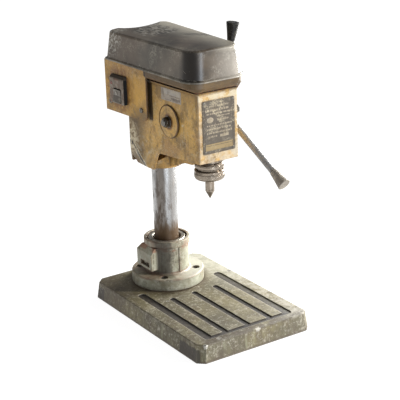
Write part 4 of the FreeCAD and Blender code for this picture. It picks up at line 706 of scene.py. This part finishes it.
def add_bar(shape, place, x, y, width, height, relief, bevel=0.25):
    """Low bar on a face: its middle at x and y, standing out by relief."""
    face = add_block(shape, place, x, y, width, height, relief)[0]
    bevel_rim(shape, face, relief * bevel, 1)


def add_frame(shape, place, x, y, width, height, relief, rim):
    """Low panel with a raised rim: the middle is pushed back to a third of the relief."""
    face, out = add_block(shape, place, x, y, width, height, relief)
    for thickness in (rim, relief * 0.5):
        bmesh.ops.inset_region(shape, faces=[face], thickness=thickness, use_even_offset=True)
    bmesh.ops.translate(shape, verts=list(face.verts), vec=out * (-relief * 0.66))


def add_hex_bolt(shape, place, across, height):
    """Hexagon head on a thin washer."""
    corner = across / math.sqrt(3)
    washer = Matrix.Translation((0, 0, height * 0.08))
    bmesh.ops.create_cone(shape, cap_ends=True, segments=32, radius1=corner * 1.35, radius2=corner * 1.35,
                          depth=height * 0.16, matrix=place @ washer)
    lift = Matrix.Translation((0, 0, height * 0.55))
    made = bmesh.ops.create_cone(shape, cap_ends=True, segments=6, radius1=corner, radius2=corner,
                                 depth=height * 0.8, matrix=place @ lift)
    bevel_rim(shape, outer_face(made, place)[0], height * 0.1, 2)


# ---- operators
class BENCHDRILL_OT_stand(bpy.types.Operator):
    """Finishes the base, the flanged socket and its collar"""
    bl_idname = "bench_drill.stand"
    bl_label = "Stand finish"

    def execute(self, context):
        dress(base_enamel(), "base_plate")
        dress(socket_enamel("socket_enamel"), "column_flange", "socket_collar")
        dress(worn_metal("stand_screw_steel", palette("metal").fastener, dirt=0.8), "flange_screws",
              "socket_clamp_screw")
        dress(worn_metal("wiper_steel", paint_tone(172, 166, 154), 0.35, 0.6, 0.5), "wiper_ring")
        return {"FINISHED"}


class BENCHDRILL_OT_column(bpy.types.Operator):
    """Finishes the polished column"""
    bl_idname = "bench_drill.column"
    bl_label = "Column finish"

    def execute(self, context):
        dress(column_steel(), "column")
        return {"FINISHED"}


class BENCHDRILL_OT_head(bpy.types.Operator):
    """Finishes the head casting, the spring cap and the switch plate"""
    bl_idname = "bench_drill.head"
    bl_label = "Head finish"

    def execute(self, context):
        paint = palette("paint")
        dress(head_enamel("head_enamel", paint.head_ochre, casting_marks), "head_casting", "head_tray",
              "head_core")
        dress(head_enamel("switch_plate_enamel", paint.plate_ochre, switch_plate_marks), "switch_plate")
        dress(head_enamel("spring_cap_enamel", paint.head_ochre, spring_cap_marks), "spring_cap")
        dress(worn_metal("head_screw_steel", palette("metal").fastener, dirt=0.5), "head_lock_bolts",
              "oil_plug", "plate_screws", "plate_rivets")
        dress(worn_metal("spring_nut_steel", paint_tone(58, 52, 44), 0.35), "spring_nut")
        dress(moulded_plastic("gland_plastic", palette("plastic").black, 0.45, 0.3), "cable_gland")
        return {"FINISHED"}


class BENCHDRILL_OT_cover(bpy.types.Operator):
    """Finishes the belt cover and its hinge"""
    bl_idname = "bench_drill.cover"
    bl_label = "Cover finish"

    def execute(self, context):
        dress(cover_enamel(), "belt_cover")
        dress(worn_metal("hinge_steel", palette("metal").fastener, dirt=0.7), "cover_hinge_lower",
              "cover_hinge_upper", "cover_hinge_pin")
        return {"FINISHED"}


class BENCHDRILL_OT_feed(bpy.types.Operator):
    """Finishes the feed shaft, its spring, the hub, the levers and their grips"""
    bl_idname = "bench_drill.feed"
    bl_label = "Feed finish"

    def execute(self, context):
        metal = palette("metal")
        plastic = palette("plastic")
        dress(worn_metal("rod_steel", metal.rod, 0.42, 0.66, 0.5, 150, 0, 0.1, 0.3), "feed_lever_1",
              "feed_lever_2", "feed_lever_3")
        dress(worn_metal("hub_steel", metal.fastener, 0.34), "feed_hub", "pinion_shaft")
        dress(worn_metal("spring_steel", metal.spring, 0.28, 0.5, 0.3), "return_spring")
        dress(moulded_plastic("dark_grip", plastic.grip, 0.5, 0.1, 260, 0.25), "lever_grip_1")
        dress(moulded_plastic("dusty_grip", plastic.dusty_grip, 0.55, 0.5, 420), "lever_grip_2",
              "lever_grip_3")
        return {"FINISHED"}


class BENCHDRILL_OT_chuck(bpy.types.Operator):
    """Finishes the quill, the spindle, the chuck and its jaws"""
    bl_idname = "bench_drill.chuck"
    bl_label = "Chuck finish"

    def execute(self, context):
        metal = palette("metal")
        dress(worn_metal("chuck_steel", metal.chuck, 0.26, 0.58, 0.8, 110, 700), "chuck_body",
              "chuck_sleeve", "quill_collar")
        dress(worn_metal("jaw_steel", metal.chuck, 0.32, 0.55, 0.7, 200), "chuck_jaw_1", "chuck_jaw_2",
              "chuck_jaw_3")
        dress(worn_metal("quill_steel", metal.steel, 0.22, 0.42, 0.3, 160, 900), "quill", "spindle",
              "quill_bearing_lower", "quill_bearing_upper", "pulley_bearing")
        return {"FINISHED"}


class BENCHDRILL_OT_drive(bpy.types.Operator):
    """Finishes the motor, the pulleys and the belt"""
    bl_idname = "bench_drill.drive"
    bl_label = "Drive finish"

    def execute(self, context):
        metal = palette("metal")
        dress(worn_metal("pulley_alloy", metal.alloy, 0.26, 0.5, 0.3, 160, 900, 0.1), "spindle_pulley",
              "motor_pulley")
        dress(moulded_plastic("motor_black", palette("plastic").black, 0.45, 0.25), "motor_body")
        dress(worn_metal("motor_shaft_steel", metal.steel, 0.25, 0.4, 0.3), "motor_shaft")
        dress(belt_rubber(), "drive_belt")
        return {"FINISHED"}


class BENCHDRILL_OT_switch(bpy.types.Operator):
    """Finishes the switch and puts a mark on its rocker"""
    bl_idname = "bench_drill.switch"
    bl_label = "Switch finish"

    def execute(self, context):
        relief = palette("fittings").print_relief
        dress(switch_housing(), "switch_body")
        dress(moulded_plastic("rocker_face", paint_tone(102, 94, 84), 0.45), "switch_rocker")
        dress(moulded_plastic("lamp_lens", palette("plastic").lamp, 0.25, 0.2), "switch_lamp")
        low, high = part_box("switch_rocker")
        middle = (low + high) * 0.5
        wall = Vector((-WALL_SPLAY, 1, 0)).normalized()
        shape = bmesh.new()
        top_slope = Vector((-1.6, 0, 11.7)).normalized()
        place = facing(Vector((low.x + 0.0034, middle.y, middle.z + 0.0055)), -wall, top_slope)
        add_bar(shape, place, 0, 0, 0.0012, 0.0062, relief + 0.0012)
        ink = moulded_plastic("switch_mark", paint_tone(206, 200, 186), 0.5, 0.2)
        finish_piece("rocker_mark", shape, ink, "switch")
        return {"FINISHED"}


class BENCHDRILL_OT_data_plate(bpy.types.Operator):
    """Puts the printed panel with its rims and plain rows on the data plate"""
    bl_idname = "bench_drill.data_plate"
    bl_label = "Data plate"

    def execute(self, context):
        relief = palette("fittings").print_relief
        width = PLATE_HIGH.x - PLATE_LOW.x
        height = PLATE_HIGH.z - PLATE_LOW.z
        middle = (PLATE_LOW + PLATE_HIGH) * 0.5
        place = facing(Vector((middle.x, PLATE_LOW.y, middle.z)), X_AXIS, Z_AXIS)
        dress(printed_ground("data_plate_ground", paint_tone(92, 82, 70)), "data_plate")
        shape = bmesh.new()
        add_frame(shape, place, 0, 0, width - 3.2 * MM, height - 3.2 * MM, 2 * relief, 0.9 * MM)
        add_frame(shape, place, 0, 1.5 * MM, width - 8.6 * MM, height - 25 * MM, 2.4 * relief, 0.5 * MM)
        panel = printed_ground("data_plate_panel", palette("metal").plate)
        finish_piece("data_plate_rims", shape, panel, "head")
        shape = bmesh.new()
        draw = random.Random(11)
        row_place = place @ Matrix.Translation((0, 0, relief))
        for level, tall, left, right in ((0.385, 2.6, -0.3, 0.3), (0.315, 3.6, -0.36, 0.34),
                                         (0.25, 2.6, -0.38, 0.4), (0.19, 2, -0.06, 0.38),
                                         (0.12, 3, -0.05, 0.3), (0.03, 2.4, -0.38, 0.4),
                                         (-0.04, 2.8, -0.38, 0.38), (-0.11, 2.6, -0.38, 0.4),
                                         (-0.18, 2.6, -0.34, -0.02)):
            x = left * width
            while x < right * width - 2 * MM:
                dash = min(draw.uniform(1.4, 6) * MM, right * width - x)
                add_bar(shape, row_place, x + dash / 2, level * height, dash, tall * MM, relief)
                x += dash + draw.uniform(0.7, 1.6) * MM
        add_frame(shape, row_place, 0.16 * width, -0.185 * height, 18 * MM, 4.6 * MM, relief, 0.5 * MM)
        stretch = Matrix.Diagonal((1.35, 1, 1, 1))
        oval = place @ Matrix.Translation((-0.27 * width, 0.135 * height, relief)) @ stretch
        bmesh.ops.create_cone(shape, cap_ends=True, segments=40, radius1=5 * MM, radius2=4.7 * MM,
                              depth=relief, matrix=oval @ Matrix.Translation((0, 0, relief / 2)))
        ink = printed_ground("data_plate_ink", paint_tone(150, 138, 118), 0.35)
        finish_piece("data_plate_rows", shape, ink, "head")
        shape = bmesh.new()
        add_frame(shape, place, 0, -0.375 * height, width - 9.5 * MM, 11.5 * MM, 2.6 * relief, 0.6 * MM)
        khaki = printed_ground("data_plate_khaki", paint_tone(146, 126, 88), 0.25)
        finish_piece("data_plate_bar", shape, khaki, "head")
        return {"FINISHED"}


class BENCHDRILL_OT_side_label(bpy.types.Operator):
    """Finishes the side label and puts plain rows on it"""
    bl_idname = "bench_drill.side_label"
    bl_label = "Side label"

    def execute(self, context):
        relief = palette("fittings").print_relief * 0.5
        dress(printed_ground("label_film", palette("plastic").film, 0.4), "side_label")
        middle_y = (LABEL_LOW.y + LABEL_HIGH.y) / 2
        middle_z = (LABEL_LOW.z + LABEL_HIGH.z) / 2
        along = Vector((WALL_SPLAY, -1, 0)).normalized()
        place = facing(wall_point(middle_y, middle_z, 0.38 * MM), along, Z_AXIS)
        shape = bmesh.new()
        add_bar(shape, place, 2 * MM, 5 * MM, 46 * MM, 7.6 * MM, relief)
        band = printed_ground("label_band", paint_tone(158, 150, 140), 0.3)
        finish_piece("side_label_band", shape, band, "head")
        shape = bmesh.new()
        draw = random.Random(5)
        for level, tall, left, right in ((-0.6, 1.3, -4, 25), (-5.4, 4.2, 0, 25.5), (-8.6, 1, -18, 20)):
            x = left
            while x < right - 1:
                dash = min(draw.uniform(1, 4.2), right - x)
                add_bar(shape, place, (x + dash / 2) * MM, level * MM, dash * MM, tall * MM, relief)
                x += dash + draw.uniform(0.5, 1.2)
        add_bar(shape, place, -23 * MM, 0, 0.8 * MM, 19 * MM, relief)
        ink = printed_ground("label_ink", paint_tone(92, 80, 70), 0.3)
        finish_piece("side_label_rows", shape, ink, "head")
        return {"FINISHED"}


class BENCHDRILL_OT_stud_thread(bpy.types.Operator):
    """Winds a thread round the end of the feed shaft's stud"""
    bl_idname = "bench_drill.stud_thread"
    bl_label = "Stud thread"

    def execute(self, context):
        pitch = palette("fittings").thread_pitch
        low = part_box("pinion_shaft")[0]
        nut_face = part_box("spring_nut")[0].x
        middle = Vector((0, (CAP_LOW.y + CAP_HIGH.y) / 2, (CAP_LOW.z + CAP_HIGH.z) / 2))
        radius = 5.16 * MM
        length = nut_face - low.x - 0.3 * MM
        start = Vector((low.x + 0.25 * MM, middle.y, middle.z + radius))
        shape = bmesh.new()
        outline = [(0, 0), (pitch * 0.5, pitch * 0.42), (pitch * 0.9, 0)]
        verts = [shape.verts.new(start + Vector((along, 0, out))) for along, out in outline]
        edges = [shape.edges.new((verts[0], verts[1])), shape.edges.new((verts[1], verts[2])),
                 shape.edges.new((verts[2], verts[0]))]
        shape.faces.new(verts)
        turns = max(1, (length - pitch) / pitch)
        steps = int(32 * turns)
        made = bmesh.ops.spin(shape, geom=verts + edges, cent=middle, axis=X_AXIS, angle=math.tau * turns,
                              dvec=Vector((pitch / 32, 0, 0)), steps=steps, use_merge=False)
        last = [item for item in made["geom_last"] if isinstance(item, bmesh.types.BMVert)]
        shape.faces.new(last)
        thread = worn_metal("thread_steel", palette("metal").rod, dirt=0.3)
        finish_piece("stud_thread", shape, thread, "feed", 60)
        return {"FINISHED"}


class BENCHDRILL_OT_sleeve_knurl(bpy.types.Operator):
    """Puts straight grip ribs round the chuck sleeve"""
    bl_idname = "bench_drill.sleeve_knurl"
    bl_label = "Sleeve knurl"

    def execute(self, context):
        count = palette("fittings").knurl_ribs
        centre = (SLEEVE_LOW + SLEEVE_HIGH) * 0.5
        radius = (SLEEVE_HIGH.x - SLEEVE_LOW.x) / 2
        shape = bmesh.new()
        for i in range(count):
            angle = math.tau * i / count
            out = Vector((math.cos(angle), math.sin(angle), 0))
            foot = Vector((centre.x, centre.y, SLEEVE_LOW.z + 7.2 * MM)) + out * (radius - 0.15 * MM)
            place = facing(foot, Z_AXIS.cross(out), Z_AXIS)
            add_bar(shape, place, 0, 0, 1.25 * MM, 5.4 * MM, 0.5 * MM, 0.6)
        knurl = worn_metal("knurl_steel", palette("metal").chuck, 0.3, 0.55)
        finish_piece("sleeve_knurl", shape, knurl, "chuck_ring", 20)
        return {"FINISHED"}


class BENCHDRILL_OT_hinge_bolts(bpy.types.Operator):
    """Puts three small bolts on the upper leaf of the cover's hinge"""
    bl_idname = "bench_drill.hinge_bolts"
    bl_label = "Hinge bolts"

    def execute(self, context):
        across = palette("fittings").bolt_across
        bolt = worn_metal("hinge_bolt_steel", palette("metal").fastener, dirt=0.5)
        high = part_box("cover_hinge_upper")[1]
        rise = Vector((0, -0.113, 1)).normalized()
        shape = bmesh.new()
        for x in (-0.03, 0, 0.03):
            spot = Vector((x, 0, high.z - 6.2 * MM))
            spot.y = COVER_BACK_Y - (spot.z - COVER_BACK_Z) * COVER_BACK_SLOPE
            add_hex_bolt(shape, facing(spot, -X_AXIS, rise), across, 3 * MM)
        finish_piece("cover_hinge_bolts", shape, bolt, "cover")
        return {"FINISHED"}


class BENCHDRILL_OT_studio(bpy.types.Operator):
    """Sets the pale floor, the soft lights and the camera"""
    bl_idname = "bench_drill.studio"
    bl_label = "Studio"

    def execute(self, context):
        scene = context.scene
        studio = scene.bench_drill_studio
        self.floor(studio)
        self.surround(scene, studio)
        self.lamp("key_sun", "SUN", studio.key, Vector((0.78, -0.62, 0.58)), (1, 0.985, 0.95), angle=0.07)
        self.lamp("right_panel", "AREA", studio.rim, Vector((0.62, 0.16, 0.44)), (1, 1, 0.98),
                  size=(0.4, 0.5))
        strip = self.lamp("front_strip", "AREA", studio.strip, Vector((-0.16, -2, 0.52)), (0.8, 0.89, 1),
                          size=(0.22, 1.2))
        strip.visible_diffuse = False
        self.camera(scene, studio)
        scene.view_settings.view_transform = "Standard"
        return {"FINISHED"}

    def floor(self, studio):
        shape = bmesh.new()
        bmesh.ops.create_grid(shape, x_segments=1, y_segments=1, size=80)
        mesh = bpy.data.meshes.new("studio_floor")
        shape.to_mesh(mesh)
        shape.free()
        coat = Finish("floor_paint")
        coat.colour = studio.floor
        coat.wash((132, 132, 131), coat.noise(3, 5, 0.6), 0.25)
        mesh.materials.append(coat.surface(0.85, Emission_Color=(1, 1, 1, 1), Emission_Strength=0.92))
        floor = new_object("studio_floor", mesh)

    def surround(self, scene, studio):
        world = bpy.data.worlds.new("studio_air")
        world.use_nodes = True
        scene.world = world
        air = world.node_tree.nodes["Background"]
        air.inputs["Color"].default_value = (0.97, 0.98, 1, 1)
        air.inputs["Strength"].default_value = studio.fill

    def lamp(self, name, kind, strength, spot, tone, angle=0, size=None):
        data = bpy.data.lights.new(name, kind)
        data.energy = strength
        data.color = tone
        if kind == "SUN":
            data.angle = angle
        else:
            data.shape = "RECTANGLE"
            data.size, data.size_y = size
        lamp = new_object(name, data)
        aim = Vector((0, 0, 0.32))
        lamp.location = spot
        lamp.rotation_euler = (spot - aim).to_track_quat("Z", "Y").to_euler()
        return lamp

    def camera(self, scene, studio):
        a, e, r = studio.azimuth, studio.elevation, studio.roll
        back = Vector((math.sin(a) * math.cos(e), -math.cos(a) * math.cos(e), math.sin(e)))
        level = Vector((math.cos(a), math.sin(a), 0))
        upright = back.cross(level)
        right = level * math.cos(r) + upright * math.sin(r)
        up = upright * math.cos(r) - level * math.sin(r)
        data = bpy.data.cameras.new("studio_camera")
        data.sensor_fit = "HORIZONTAL"
        data.sensor_width = 36
        data.lens = studio.lens
        data.clip_end = 300
        camera = new_object("studio_camera", data)
        turn = Matrix((right, up, back)).transposed().to_4x4()
        camera.matrix_world = Matrix.Translation(Vector(studio.camera_place)) @ turn
        scene.camera = camera


OPERATORS = (
    BENCHDRILL_OT_stand, BENCHDRILL_OT_column, BENCHDRILL_OT_head, BENCHDRILL_OT_cover, BENCHDRILL_OT_feed,
    BENCHDRILL_OT_chuck, BENCHDRILL_OT_drive, BENCHDRILL_OT_switch, BENCHDRILL_OT_data_plate,
    BENCHDRILL_OT_side_label, BENCHDRILL_OT_stud_thread, BENCHDRILL_OT_sleeve_knurl,
    BENCHDRILL_OT_hinge_bolts, BENCHDRILL_OT_studio,
)


class BENCHDRILL_PT_panel(bpy.types.Panel):
    """Lists the steps that finish the machine"""
    bl_label = "Bench Drill"
    bl_idname = "BENCHDRILL_PT_panel"
    bl_space_type = "VIEW_3D"
    bl_region_type = "UI"
    bl_category = "Bench Drill"

    def draw(self, context):
        for step in OPERATORS:
            self.layout.operator(step.bl_idname)
        for name, kind in SETTINGS:
            box = self.layout.box()
            for key in kind.__annotations__:
                box.prop(getattr(context.scene, name), key)


SETTINGS = (
    ("bench_drill_paint", BenchDrillPaint),
    ("bench_drill_metal", BenchDrillMetal),
    ("bench_drill_plastic", BenchDrillPlastic),
    ("bench_drill_fittings", BenchDrillFittings),
    ("bench_drill_studio", BenchDrillStudio),
)


def register():
    for name, kind in SETTINGS:
        bpy.utils.register_class(kind)
        setattr(bpy.types.Scene, name, PointerProperty(type=kind))
    for step in OPERATORS:
        bpy.utils.register_class(step)
    bpy.utils.register_class(BENCHDRILL_PT_panel)


def unregister():
    bpy.utils.unregister_class(BENCHDRILL_PT_panel)
    for step in reversed(OPERATORS):
        bpy.utils.unregister_class(step)
    for name, kind in reversed(SETTINGS):
        delattr(bpy.types.Scene, name)
        bpy.utils.unregister_class(kind)


def main():
    register()
    for step in OPERATORS:
        group, name = step.bl_idname.split(".")
        getattr(getattr(bpy.ops, group), name)()


if __name__ == "__main__":
    main()
